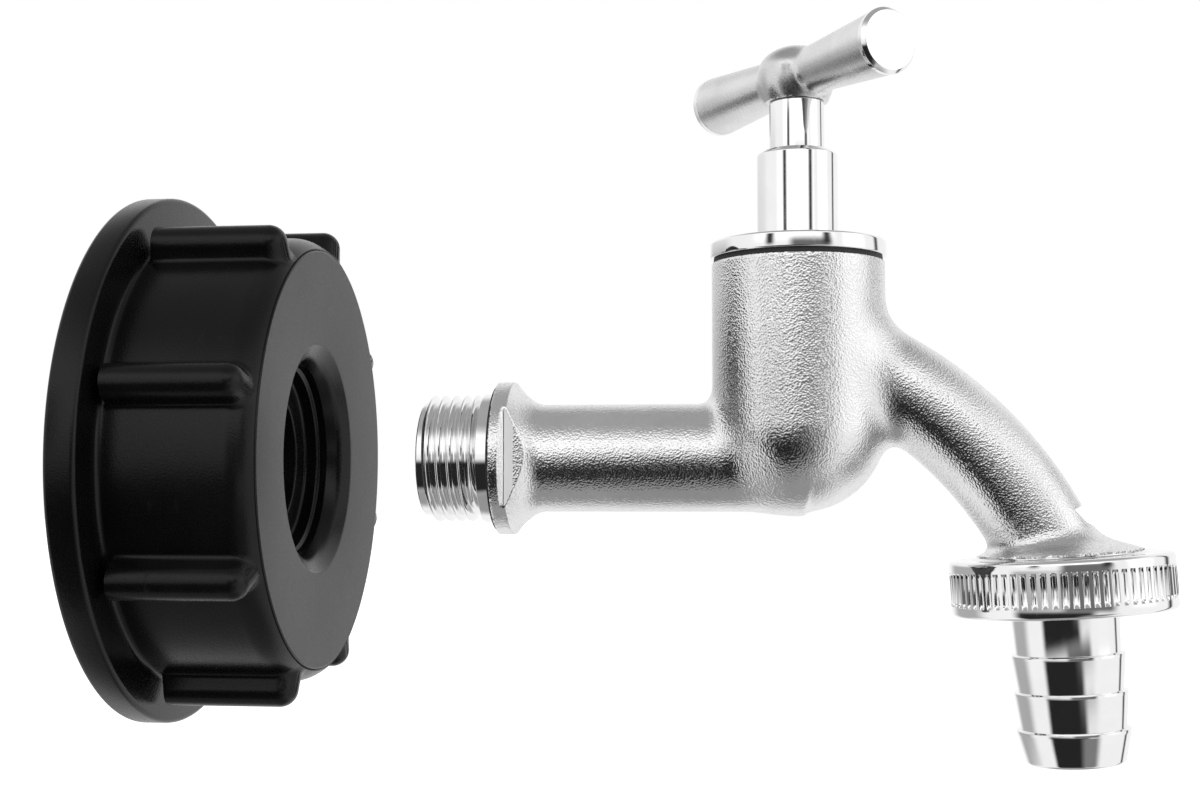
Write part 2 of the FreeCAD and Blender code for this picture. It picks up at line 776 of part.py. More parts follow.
def thrust_washer():
    """The slippery ring on the shoulder above the spindle's thread."""
    inner = S.stem_radius + S.running_clearance * 2
    outer = S.spindle_thread_radius - S.running_clearance * 4
    top = SPINDLE_THREAD_TOP + S.thrust_washer_thickness
    return ring("thrust_washer", inner, outer, SPINDLE_THREAD_TOP, top, **AT_TAP)


def stem_seal(name, height):
    """A round-section ring in one of the stem's grooves."""
    body = new_body(name, z=height, **AT_TAP)
    sketch = on_plane(body, name + "_section")
    draw_circle(sketch, SEAL_GROOVE + S.running_clearance / 2 + S.stem_seal_section, 0, S.stem_seal_section)
    feature = body.newObject("PartDesign::Revolution", name + "_turn")
    feature.Profile = sketch
    feature.ReferenceAxis = (sketch, [ABOUT_Z])
    feature.Angle = 360
    return body


def jumper():
    """The disc holder: grooved stem up into the spindle, plate, and a stud down through the seat washer."""
    body = new_body("jumper", **AT_TAP)
    groove = S.jumper_stem_radius - S.jumper_groove_depth
    groove_low = GROOVE_HEIGHT - S.jumper_groove_width / 2
    groove_high = GROOVE_HEIGHT + S.jumper_groove_width / 2
    stud_bottom = WASHER_BOTTOM - S.washer_nut_height - S.stud_end
    turned(body, "jumper_turn", [
        (0, stud_bottom),
        (S.stud_radius, stud_bottom),
        (S.stud_radius, PLATE_BOTTOM),
        (S.jumper_plate_radius, PLATE_BOTTOM),
        (S.jumper_plate_radius, PLATE_TOP),
        (S.jumper_stem_radius, PLATE_TOP),
        (S.jumper_stem_radius, groove_low),
        (groove, groove_low),
        (groove, groove_high),
        (S.jumper_stem_radius, groove_high),
        (S.jumper_stem_radius, PLATE_TOP + S.jumper_stem_length),
        (0, PLATE_TOP + S.jumper_stem_length),
    ])
    return body


def jumper_pin():
    """The cross pin in the spindle's foot that holds the jumper's groove."""
    body = new_body("jumper_pin", angle=S.handle_turned, **AT_TAP)
    section = on_plane(body, "pin_section", "YZ_Plane")
    draw_circle(section, pin_offset(), GROOVE_HEIGHT, S.jumper_pin_radius)
    padded(body, "pin", section, S.jumper_pin_length, True)
    return body


def seat_washer():
    """The soft disc that closes on the seat."""
    inner = S.stud_radius + S.running_clearance
    return ring("seat_washer", inner, S.washer_radius, WASHER_BOTTOM, PLATE_BOTTOM, **AT_TAP)


def washer_nut():
    """The small six-sided nut under the seat washer."""
    body = new_body("washer_nut", **AT_TAP)
    sketch = on_plane(body, "nut_outline", "XY_Plane", dz=WASHER_BOTTOM - S.washer_nut_height)
    half_side = S.washer_nut_radius / 2
    flat = S.washer_nut_radius * cosine(Size(30))
    draw_loop(sketch, [
        (S.washer_nut_radius, 0), (half_side, flat), (-half_side, flat),
        (-S.washer_nut_radius, 0), (-half_side, -flat), (half_side, -flat),
    ])
    draw_circle(sketch, 0, 0, S.stud_radius + S.running_clearance)
    padded(body, "nut_pad", sketch, S.washer_nut_height)
    return body


# ---------------------------------------------------------------- the handle

def t_handle():
    """A ball-like hub with two arms that widen outward to turned ends."""
    body = new_body("t_handle", angle=S.handle_turned, **AT_TAP)
    hub_top = STEM_TOP + S.hub_height
    waist = hub_top - S.hub_shoulder
    foot = STEM_TOP + S.seat_clearance
    crown = (S.hub_radius * S.hub_radius + S.hub_shoulder * S.hub_shoulder) / (S.hub_shoulder * 2)
    turned(body, "hub", [
        (0, foot),
        (S.hub_foot_radius, foot, S.hub_radius),
        (S.hub_radius, waist, crown),
        (0, hub_top),
    ])
    chamfer = S.bar_end_chamfer
    for name, side in (("near_arm", -1), ("far_arm", 1)):
        length = S.bar_half_length * side
        turned(body, name, [
            (0, 0),
            (S.bar_root_radius, 0),
            (S.bar_end_radius, length - chamfer * side),
            (S.bar_end_radius - chamfer, length),
            (0, length),
        ], role="XY_Plane", dz=STEM_TOP + S.bar_rise)
    half = S.square_size / 2 + S.running_clearance
    socket = on_plane(body, "socket_outline", "XY_Plane", dz=STEM_TOP - S.cut_overrun)
    depth = S.square_length + S.cut_overrun + S.seat_clearance * 2
    hole = padded(body, "socket", rectangle(socket, -half, -half, half, half), depth, cut=True)
    hole.Reversed = True
    screw_hole = on_plane(body, "screw_hole_outline", "YZ_Plane")
    draw_circle(screw_hole, 0, STEM_TOP + S.set_screw_rise, S.set_screw_radius + S.running_clearance)
    hole = padded(body, "screw_hole", screw_hole, S.hub_radius + S.cut_overrun, cut=True)
    hole.Reversed = True
    return body


def handle_screw():
    """The headless screw in the hub's far side that bears on the spindle's square."""
    body = new_body("handle_screw", angle=S.handle_turned, **AT_TAP)
    inner = S.square_size / 2 + S.running_clearance / 2
    outer = S.hub_radius - S.set_screw_inset
    turned(body, "screw", [
        (inner, 0), (inner, S.set_screw_radius), (outer, S.set_screw_radius),
        (outer, S.set_screw_socket), (outer - S.set_screw_socket_depth, S.set_screw_socket),
        (outer - S.set_screw_socket_depth, 0),
    ], ABOUT_X, dy=STEM_TOP + S.set_screw_rise)
    return body


# ---------------------------------------------------------------- the outlet

def nozzle_gasket():
    """The flat ring between the outlet's face and the nozzle's collar."""
    inner = S.nozzle_bore_radius + S.nozzle_gasket_ease
    return ring("nozzle_gasket", inner, S.nozzle_gasket_radius, NOZZLE_TOP, OUTLET_FACE, **AT_OUTLET)


def union_nut():
    """The round nut that holds the nozzle's collar up against the outlet."""
    body = new_body("union_nut", **AT_OUTLET)
    thread_bore = S.outlet_thread_radius + S.thread_clearance
    lip_top = COLLAR_BOTTOM - S.seat_clearance
    edge = S.nut_edge
    turned(body, "nut_turn", [
        (thread_bore, S.nut_rise - S.outlet_boss_edge),
        (thread_bore, lip_top),
        (S.nut_hole_radius, lip_top),
        (S.nut_hole_radius, NUT_BOTTOM),
        (S.nut_radius - edge, NUT_BOTTOM, edge),
        (S.nut_radius, NUT_BOTTOM + edge),
        (S.nut_radius, S.nut_rise - edge, edge),
        (S.nut_radius - edge, S.nut_rise),
        (thread_bore + S.outlet_boss_edge, S.nut_rise),
    ])
    return body


def hose_nozzle():
    """Collar, guide and neck, then saw-tooth barbs whose sharp edges face the nut, bored right through."""
    body = new_body("hose_nozzle", **AT_OUTLET)
    guide = S.nut_hole_radius - S.guide_clearance
    outline = [
        (S.nozzle_bore_radius, NOZZLE_TOP),
        (S.nozzle_bore_radius, -S.nozzle_length),
        (S.nozzle_end_radius - S.nozzle_end_round, -S.nozzle_length, S.nozzle_end_round),
        (S.nozzle_end_radius, -S.nozzle_length + S.nozzle_end_round),
    ]
    for tooth in range(int(S.barb_count.value) - 1, -1, -1):
        crest = -(S.barb_first + S.barb_pitch * tooth)
        outline += [
            (S.barb_radius, crest - S.barb_land),
            (S.barb_radius, crest),
            (S.nozzle_waist_radius, crest),
        ]
    guide_end = COLLAR_BOTTOM - S.nozzle_guide_length
    outline += [
        (S.nozzle_neck_radius, guide_end),
        (guide, guide_end),
        (guide, COLLAR_BOTTOM),
        (S.nozzle_collar_radius, COLLAR_BOTTOM),
        (S.nozzle_collar_radius, NOZZLE_TOP),
    ]
    turned(body, "nozzle_turn", outline)
    return body


# ---------------------------------------------------------------- build, test and write

def build_all():
    return [
        adapter_cap(), tank_gasket(), inlet_seal(), valve_body(), bonnet_seal(), bonnet(),
        spindle(), thrust_washer(),
        *[stem_seal(name, height) for name, height in STEM_SEALS.items()],
        jumper(), jumper_pin(), seat_washer(), washer_nut(), t_handle(), handle_screw(),
        nozzle_gasket(), union_nut(), hose_nozzle(),
    ]


def test_document(pieces):
    """Stops the build if a feature failed or a piece isn't one valid solid."""
    for thing in DOCUMENT.Objects:
        if "Invalid" in thing.State or "Error" in thing.State:
            raise RuntimeError("%s failed: %s" % (thing.Name, thing.State))
    for piece in pieces:
        shape = piece.Shape
        if shape.isNull() or not shape.isValid() or len(shape.Solids) != 1:
            raise RuntimeError("%s isn't one valid solid" % piece.Label)


def test_cuts(pieces):
    """Stops the build if a cut took nothing away."""
    for piece in pieces:
        for feature in piece.Group:
            if feature.TypeId in ("PartDesign::Groove", "PartDesign::Pocket", "PartDesign::SubtractivePipe"):
                if feature.Shape.Volume > feature.BaseFeature.Shape.Volume - 1e-3:
                    raise RuntimeError("%s cut nothing" % feature.Name)


def main():
    pieces = build_all()
    DOCUMENT.recompute()
    test_document(pieces)
    test_cuts(pieces)
    os.makedirs("parts", exist_ok=True)
    for piece in pieces:
        piece.Shape.exportStep("parts/%s.step" % piece.Label)
        print("%-16s %10.1f mm3" % (piece.Label, piece.Shape.Volume))


main()
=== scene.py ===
"""Dresses the screw-on tank adapter and its plated bib tap.

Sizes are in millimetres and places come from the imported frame. The row's X axis is the inlet axis, from
the tank to the tap, and Z is up.
"""

import json
import logging
import math
from dataclasses import dataclass, field
from enum import Enum
from typing import Callable, Sequence

import bmesh
import bpy
import numpy as np
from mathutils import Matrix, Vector


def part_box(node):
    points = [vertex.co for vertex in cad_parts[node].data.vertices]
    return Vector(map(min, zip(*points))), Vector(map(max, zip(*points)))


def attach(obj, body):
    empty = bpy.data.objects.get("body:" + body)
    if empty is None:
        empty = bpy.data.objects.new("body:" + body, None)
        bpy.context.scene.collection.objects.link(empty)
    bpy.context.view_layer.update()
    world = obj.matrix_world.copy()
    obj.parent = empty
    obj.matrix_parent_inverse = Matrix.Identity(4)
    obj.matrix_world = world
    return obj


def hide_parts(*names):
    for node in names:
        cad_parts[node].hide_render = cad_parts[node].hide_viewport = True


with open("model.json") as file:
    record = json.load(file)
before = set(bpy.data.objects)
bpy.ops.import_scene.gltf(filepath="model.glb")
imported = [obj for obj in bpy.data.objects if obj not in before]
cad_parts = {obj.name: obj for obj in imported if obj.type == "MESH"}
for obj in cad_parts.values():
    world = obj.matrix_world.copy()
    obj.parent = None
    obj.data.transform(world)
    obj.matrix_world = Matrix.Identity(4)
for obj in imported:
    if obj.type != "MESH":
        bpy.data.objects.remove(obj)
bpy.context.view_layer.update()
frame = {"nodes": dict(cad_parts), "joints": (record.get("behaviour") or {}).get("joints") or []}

MM = 0.001
TURN = 2 * math.pi
AROUND = 256
LOG = logging.getLogger("tank_valve")

Corner = tuple[float, float, float]
Field = Callable[[np.ndarray], np.ndarray]


# ---------------------------------------------------------------- places read from the frame

@dataclass(frozen=True)
class Axis:
    """A line that round pieces turn about, in millimetres."""

    origin: Vector
    along: Vector
    side: Vector

    def points(self, radius: np.ndarray, angle: np.ndarray, run: np.ndarray) -> np.ndarray:
        """Places points by radius, angle and run along the axis.

        Args:
            radius: Distance from the axis.
            angle: Angle about the axis in radians, from the side direction.
            run: Distance along the axis from its origin.

        Returns:
            An array of points whose last dimension is x, y, z.
        """
        across = np.array(self.along.cross(self.side))
        spin = np.cos(angle)[..., None] * np.array(self.side) + np.sin(angle)[..., None] * across
        return np.array(self.origin) + run[..., None] * np.array(self.along) + radius[..., None] * spin

    def local(self, points: np.ndarray) -> tuple[np.ndarray, np.ndarray]:
        """Gives each point's distance from the axis and run along it.

        Args:
            points: Points in millimetres, one per row.

        Returns:
            The radii and the runs.
        """
        offset = points - np.array(self.origin)
        run = offset @ np.array(self.along)
        radial = offset - run[:, None] * np.array(self.along)
        return np.linalg.norm(radial, axis=1), run


def joint(name: str) -> dict:
    """Returns the record's joint of that name."""
    return next(entry for entry in frame["joints"] if entry["name"] == name)


def lowest(node: str) -> Vector:
    """Returns a CAD node's lowest corner in millimetres."""
    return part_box(node)[0] / MM


def highest(node: str) -> Vector:
    """Returns a CAD node's highest corner in millimetres."""
    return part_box(node)[1] / MM


def upward(name: str) -> Vector:
    """Returns the direction against a joint's axis, as a unit vector."""
    return -Vector(joint(name)["axis"]).normalized()


INLET = Axis(Vector((0, 0, 0)), Vector((1, 0, 0)), Vector((0, 1, 0)))
STEM = Axis(Vector((joint("handle_turn")["pos_m"][0] / MM, 0, 0)), Vector((0, 0, 1)), Vector((1, 0, 0)))
OUTLET = Axis(
    Vector(joint("nut_turn")["pos_m"]) / MM,
    upward("nut_turn"),
    Vector((0, 1, 0)).cross(upward("nut_turn")),
)


# ---------------------------------------------------------------- mesh helpers

def finish_mesh(name: str, mesh: bpy.types.Mesh, crease: float = 32.0) -> bpy.types.Object:
    """Merges doubles, turns faces outward, shades smooth and marks sharp edges.

    Args:
        name: Name of the piece.
        mesh: The mesh in metres.
        crease: Angle in degrees above which an edge stays sharp.

    Returns:
        The linked object.
    """
    work = bmesh.new()
    work.from_mesh(mesh)
    bmesh.ops.remove_doubles(work, verts=work.verts, dist=2e-7)
    bmesh.ops.dissolve_degenerate(work, edges=work.edges, dist=1e-7)
    bmesh.ops.recalc_face_normals(work, faces=work.faces)
    limit = math.radians(crease)
    for edge in work.edges:
        edge.smooth = not edge.is_manifold or edge.calc_face_angle(0) < limit
    for face in work.faces:
        face.smooth = True
    work.to_mesh(mesh)
    work.free()
    piece = bpy.data.objects.new(name, mesh)
    bpy.context.scene.collection.objects.link(piece)
    return piece


def mesh_from_rows(name: str, points: np.ndarray, closed_rows: bool,
                   crease: float = 32.0) -> bpy.types.Object:
    """Skins a grid of points that closes on itself around its second dimension.

    Args:
        name: Name of the piece.
        points: Grid of points in millimetres, rows by columns by three.
        closed_rows: Whether the last row joins the first.
        crease: Angle in degrees above which an edge stays sharp.

    Returns:
        The new piece.
    """
    rows, columns = points.shape[:2]
    index = np.arange(rows * columns).reshape(rows, columns)
    below = index if closed_rows else index[:-1]
    above = np.roll(index, -1, axis=0) if closed_rows else index[1:]
    faces = np.stack([below, np.roll(below, -1, axis=1), np.roll(above, -1, axis=1), above], axis=-1)
    mesh = bpy.data.meshes.new(name)
    mesh.from_pydata((points.reshape(-1, 3) * MM).tolist(), [], faces.reshape(-1, 4).tolist())
    return finish_mesh(name, mesh, crease)


def rounded(corners: Sequence[Corner], steps: int = 5) -> np.ndarray:
    """Rounds the corners of a closed outline.

    Args:
        corners: Radius, run and rounding of each corner.
        steps: Segments in each rounding.

    Returns:
        The outline's points as radius and run.
    """
    places = np.array([corner[:2] for corner in corners], dtype=float)
    outline = []
    for index, corner in enumerate(corners):
        here = places[index]
        back = places[index - 1] - here
        ahead = places[(index + 1) % len(places)] - here
        reach = min(np.linalg.norm(back), np.linalg.norm(ahead))
        if corner[2] <= 0 or reach < 1e-6:
            outline.append(here)
            continue
        back_way, ahead_way = back / np.linalg.norm(back), ahead / np.linalg.norm(ahead)
        half = math.acos(float(np.clip(back_way @ ahead_way, -1, 1))) / 2
        if half > math.pi / 2 - 1e-3:
            outline.append(here)
            continue
        cut = min(corner[2] / math.tan(half), reach * 0.48)
        radius = cut * math.tan(half)
        middle = back_way + ahead_way
        centre = here + middle / np.linalg.norm(middle) * radius / math.sin(half)
        first, last = here + back_way * cut - centre, here + ahead_way * cut - centre
        start = math.atan2(first[1], first[0])
        sweep = (math.atan2(last[1], last[0]) - start + math.pi) % TURN - math.pi
        for step in range(steps + 1):
            angle = start + sweep * step / steps
            outline.append(centre + radius * np.array([math.cos(angle), math.sin(angle)]))
    return np.array(outline)


def lathe(name: str, axis: Axis, corners: Sequence[Corner], around: int = AROUND, steps: int = 5,
          crease: float = 32.0) -> bpy.types.Object:
    """Turns a closed outline about an axis.

    Args:
        name: Name of the piece.
        axis: The axis to turn about.
        corners: Radius, run and rounding of each corner of the outline.
        around: Segments around.
        steps: Segments in each rounded corner.
        crease: Angle in degrees above which an edge stays sharp.

    Returns:
        The new piece.
    """
    outline = rounded(corners, steps)
    angle = np.linspace(0, TURN, around, endpoint=False)
    radius, angles = np.meshgrid(outline[:, 0], angle, indexing="ij")
    run = np.repeat(outline[:, 1][:, None], around, axis=1)
    return mesh_from_rows(name, axis.points(radius, angles, run), True, crease)


@dataclass(frozen=True)
class ThreadForm:
    """The ridge of a screw thread."""

    pitch: float
    height: float
    crest: float
    base: float
    slant: float = 0.0


def thread_ridge(name: str, axis: Axis, form: ThreadForm, root: float, start: float, end: float,
                 zero: float, inward: bool = False, around: int = 120) -> bpy.types.Object:
    """Sweeps one right-handed thread ridge with run-out ends.

    Args:
        name: Name of the piece.
        axis: The thread's axis.
        form: The ridge's section and pitch.
        root: Radius that the ridge stands on.
        start: Run of the first thread.
        end: Run of the last thread.
        zero: Run at which the ridge crosses the side direction.
        inward: Whether the ridge points at the axis.
        around: Sections in each turn.

    Returns:
        The new piece.
    """
    first = (start + form.base / 2 - zero) / form.pitch
    last = (end - form.base / 2 - zero) / form.pitch
    count = max(8, int((last - first) * around))
    turns = np.linspace(first, last, count)
    fade = np.clip(np.minimum(turns - first, last - turns) / 0.22, 0.02, 1)
    fade = fade * fade * (3 - 2 * fade)
    crest, base = form.crest / 2, form.base / 2
    shift = form.slant
    offsets = np.array([-base, -base * 0.92, -crest + shift, -crest * 0.5 + shift, crest * 0.5 + shift,
                        crest + shift, base * 0.92, base])
    heights = np.array([-0.2, 0.02, 0.94, 1, 1, 0.94, 0.02, -0.2])
    lift = np.where(heights[:, None] < 0, heights[:, None], heights[:, None] * form.height * fade[None, :])
    radius = root + (-lift if inward else lift)
    run = zero + turns[None, :] * form.pitch + offsets[:, None]
    points = axis.points(radius, np.broadcast_to(turns * TURN, radius.shape), run)
    rows = np.swapaxes(points, 0, 1)
    ring = rows.shape[1]
    index = np.arange(rows.shape[0] * ring).reshape(rows.shape[0], ring)
    faces = np.stack([index[:-1], np.roll(index[:-1], -1, 1), np.roll(index[1:], -1, 1), index[1:]], -1)
    faces = faces.reshape(-1, 4).tolist() + [index[0][::-1].tolist(), index[-1].tolist()]
    mesh = bpy.data.meshes.new(name)
    mesh.from_pydata((rows.reshape(-1, 3) * MM).tolist(), [], faces)
    return finish_mesh(name, mesh, 50)


def smooth_union(first: np.ndarray, second: np.ndarray, blend: float) -> np.ndarray:
    """Joins two distance fields with a fillet about as wide as the blend."""
    mix = np.clip(0.5 + 0.5 * (second - first) / blend, 0, 1)
    return second * (1 - mix) + first * mix - blend * mix * (1 - mix)


def settle(points: np.ndarray, distance: Field, passes: int = 6, step: float = 0.02) -> np.ndarray:
    """Moves points onto the surface where a distance field is zero.

    Args:
        points: Points in millimetres, one per row.
        distance: The field.
        passes: Newton steps.
        step: Distance over which the field's slope is taken.

    Returns:
        The moved points.
    """
    for _ in range(passes):
        value = distance(points)
        slope = np.stack([
            (distance(points + np.eye(3)[k] * step) - distance(points - np.eye(3)[k] * step)) / (2 * step)
            for k in range(3)
        ], axis=1)
        size = np.maximum((slope ** 2).sum(axis=1), 0.05)
        move = slope * (value / size)[:, None]
        length = np.linalg.norm(move, axis=1, keepdims=True)
        points = points - move * np.minimum(1, 0.6 / np.maximum(length, 1e-9))
    return points


def fused_skin(name: str, sources: Sequence[bpy.types.Object], voxel: float, distance: Field,
               crease: float = 38.0) -> bpy.types.Object:
    """Makes one skin of several overlapping solids and settles it on a distance field.

    Args:
        name: Name of the piece.
        sources: Closed meshes that overlap. They are removed.
        voxel: Size of the skin's squares in millimetres.
        distance: The field whose zero is the wanted surface.
        crease: Angle in degrees above which an edge stays sharp.

    Returns:
        The new piece.
    """
    work = bmesh.new()
    for source in sources:
        work.from_mesh(source.data)
        bpy.data.objects.remove(source)
    mesh = bpy.data.meshes.new(name + "_raw")
    work.to_mesh(mesh)
    work.free()
    raw = bpy.data.objects.new(name + "_raw", mesh)
    bpy.context.scene.collection.objects.link(raw)
    remesh = raw.modifiers.new("skin", "REMESH")
    remesh.mode = "VOXEL"
    remesh.voxel_size = voxel * MM
    bpy.context.view_layer.update()
    skinned = bpy.data.meshes.new_from_object(raw.evaluated_get(bpy.context.evaluated_depsgraph_get()))
    bpy.data.objects.remove(raw)
    flat = np.empty(len(skinned.vertices) * 3)
    skinned.vertices.foreach_get("co", flat)
    settled = settle(flat.reshape(-1, 3) / MM, distance)
    skinned.vertices.foreach_set("co", (settled * MM).ravel())
    skinned.name = name
    return finish_mesh(name, skinned, crease)


def drill(piece: bpy.types.Object, cutters: Sequence[bpy.types.Object]) -> None:
    """Cuts closed meshes out of a piece and removes them.

    Args:
        piece: The piece that is cut.
        cutters: The meshes to take away.
    """
    for cutter in cutters:
        cut = piece.modifiers.new("drill", "BOOLEAN")
        cut.operation = "DIFFERENCE"
        cut.solver = "EXACT"
        cut.object = cutter
    bpy.context.view_layer.update()
    result = bpy.data.meshes.new_from_object(piece.evaluated_get(bpy.context.evaluated_depsgraph_get()))
    piece.modifiers.clear()
    piece.data = result
    for cutter in cutters:
        bpy.data.objects.remove(cutter)


# ---------------------------------------------------------------- finishes

class Effect(Enum):
    """Shared surface effects, each a node group."""

    GRAIN = "fine_grain"
    WEAR = "rubbed_patches"
    SCRATCHES = "hair_scratches"


class Nodes:
    """Small helper that adds nodes and wires to one node tree."""

    def __init__(self, tree: bpy.types.NodeTree) -> None:
        """Keeps the tree."""
        self.tree = tree

    def add(self, kind: str, **values: object) -> bpy.types.Node:
        """Adds a node and sets its inputs and properties.

        Args:
            kind: The node's type.
            **values: Inputs by name with underscores for spaces, or properties.

        Returns:
            The new node.
        """
        node = self.tree.nodes.new(kind)
        for name, value in values.items():
            if hasattr(node, name):
                setattr(node, name, value)
            else:
                node.inputs[name.replace("_", " ")].default_value = value
        return node

    def link(self, source: bpy.types.NodeSocket, target: bpy.types.NodeSocket) -> None:
        """Wires one socket to another."""
        self.tree.links.new(source, target)


def group_with(name: str, inputs: dict[str, float],
               outputs: Sequence[str]) -> tuple[Nodes, bpy.types.Node, bpy.types.Node]:
    """Starts a node group with number sockets.

    Args:
        name: Name of the group.
        inputs: Names and defaults of its number inputs.
        outputs: Names of its number outputs.

    Returns:
        The node helper, the input node and the output node.
    """
    tree = bpy.data.node_groups.new(name, "ShaderNodeTree")
    for label, value in inputs.items():
        socket = tree.interface.new_socket(name=label, in_out="INPUT", socket_type="NodeSocketFloat")
        socket.default_value = value
    for label in outputs:
        tree.interface.new_socket(name=label, in_out="OUTPUT", socket_type="NodeSocketFloat")
    nodes = Nodes(tree)
    return nodes, nodes.add("NodeGroupInput"), nodes.add("NodeGroupOutput")


def grain_group() -> bpy.types.NodeTree:
    """Builds the sand-cast grain: fine pits and lumps with a coarser swell.

    Returns:
        The group, which puts out Height and Mask.
    """
    inputs = {"Scale": 2600.0, "Coarse": 700.0}
    nodes, given, result = group_with(Effect.GRAIN.value, inputs, ["Height", "Mask"])
    where = nodes.add("ShaderNodeTexCoord")
    fine = nodes.add("ShaderNodeTexNoise", Detail=3.0, Roughness=0.62)
    coarse = nodes.add("ShaderNodeTexNoise", Detail=2.0, Roughness=0.5)
    pits = nodes.add("ShaderNodeTexVoronoi", feature="F1")
    for texture, scale in ((fine, "Scale"), (coarse, "Coarse"), (pits, "Scale")):
        nodes.link(where.outputs["Object"], texture.inputs["Vector"])
        nodes.link(given.outputs[scale], texture.inputs["Scale"])
    blend = nodes.add("ShaderNodeMath", operation="MULTIPLY_ADD")
    blend.inputs[1].default_value = 0.55
    nodes.link(fine.outputs["Fac"], blend.inputs[0])
    nodes.link(pits.outputs["Distance"], blend.inputs[2])
    total = nodes.add("ShaderNodeMath", operation="MULTIPLY_ADD")
    total.inputs[1].default_value = 0.8
    nodes.link(coarse.outputs["Fac"], total.inputs[0])
    nodes.link(blend.outputs[0], total.inputs[2])
    nodes.link(total.outputs[0], result.inputs["Height"])
    nodes.link(fine.outputs["Fac"], result.inputs["Mask"])
    return nodes.tree


def wear_group() -> bpy.types.NodeTree:
    """Builds slow patches of handling and rubbing.

    Returns:
        The group, which puts out Mask.
    """
    nodes, given, result = group_with(Effect.WEAR.value, {"Scale": 90.0, "Low": 0.35, "High": 0.7}, ["Mask"])
    where = nodes.add("ShaderNodeTexCoord")
    noise = nodes.add("ShaderNodeTexNoise", Detail=5.0, Roughness=0.6)
    nodes.link(where.outputs["Object"], noise.inputs["Vector"])
    nodes.link(given.outputs["Scale"], noise.inputs["Scale"])
    spread = nodes.add("ShaderNodeMapRange", clamp=True)
    nodes.link(noise.outputs["Fac"], spread.inputs["Value"])
    nodes.link(given.outputs["Low"], spread.inputs["From Min"])
    nodes.link(given.outputs["High"], spread.inputs["From Max"])
    nodes.link(spread.outputs["Result"], result.inputs["Mask"])
    return nodes.tree


def scratch_group() -> bpy.types.NodeTree:
    """Builds thin straight hair scratches by stretching a noise.

    Returns:
        The group, which puts out Mask.
    """
    inputs = {"Across": 900.0, "Along": 30.0, "Amount": 0.7}
    nodes, given, result = group_with(Effect.SCRATCHES.value, inputs, ["Mask"])
    where = nodes.add("ShaderNodeTexCoord")
    apart = nodes.add("ShaderNodeSeparateXYZ")
    nodes.link(where.outputs["Object"], apart.inputs[0])
    joined = nodes.add("ShaderNodeCombineXYZ")
    for axis, scale in (("X", "Across"), ("Y", "Across"), ("Z", "Along")):
        stretch = nodes.add("ShaderNodeMath", operation="MULTIPLY")
        nodes.link(apart.outputs[axis], stretch.inputs[0])
        nodes.link(given.outputs[scale], stretch.inputs[1])
        nodes.link(stretch.outputs[0], joined.inputs[axis])
    noise = nodes.add("ShaderNodeTexNoise", Scale=1.0, Detail=1.0)
    nodes.link(joined.outputs[0], noise.inputs["Vector"])
    sharp = nodes.add("ShaderNodeMapRange", clamp=True)
    sharp.inputs["From Max"].default_value = 0.8
    nodes.link(noise.outputs["Fac"], sharp.inputs["Value"])
    nodes.link(given.outputs["Amount"], sharp.inputs["From Min"])
    nodes.link(sharp.outputs["Result"], result.inputs["Mask"])
    return nodes.tree


class Effects:
    """The shared node groups, each built once."""

    def __init__(self) -> None:
        """Builds every group."""
        self.trees = {
            Effect.GRAIN: grain_group(), Effect.WEAR: wear_group(), Effect.SCRATCHES: scratch_group(),
        }

    def place(self, nodes: Nodes, effect: Effect, **values: float) -> bpy.types.Node:
        """Places a group in a material with its own values.

        Args:
            nodes: The material's node helper.
            effect: Which effect.
            **values: The group's inputs.

        Returns:
            The group node.
        """
        node = nodes.tree.nodes.new("ShaderNodeGroup")
        node.node_tree = self.trees[effect]
        for name, value in values.items():
            node.inputs[name].default_value = value
        return node


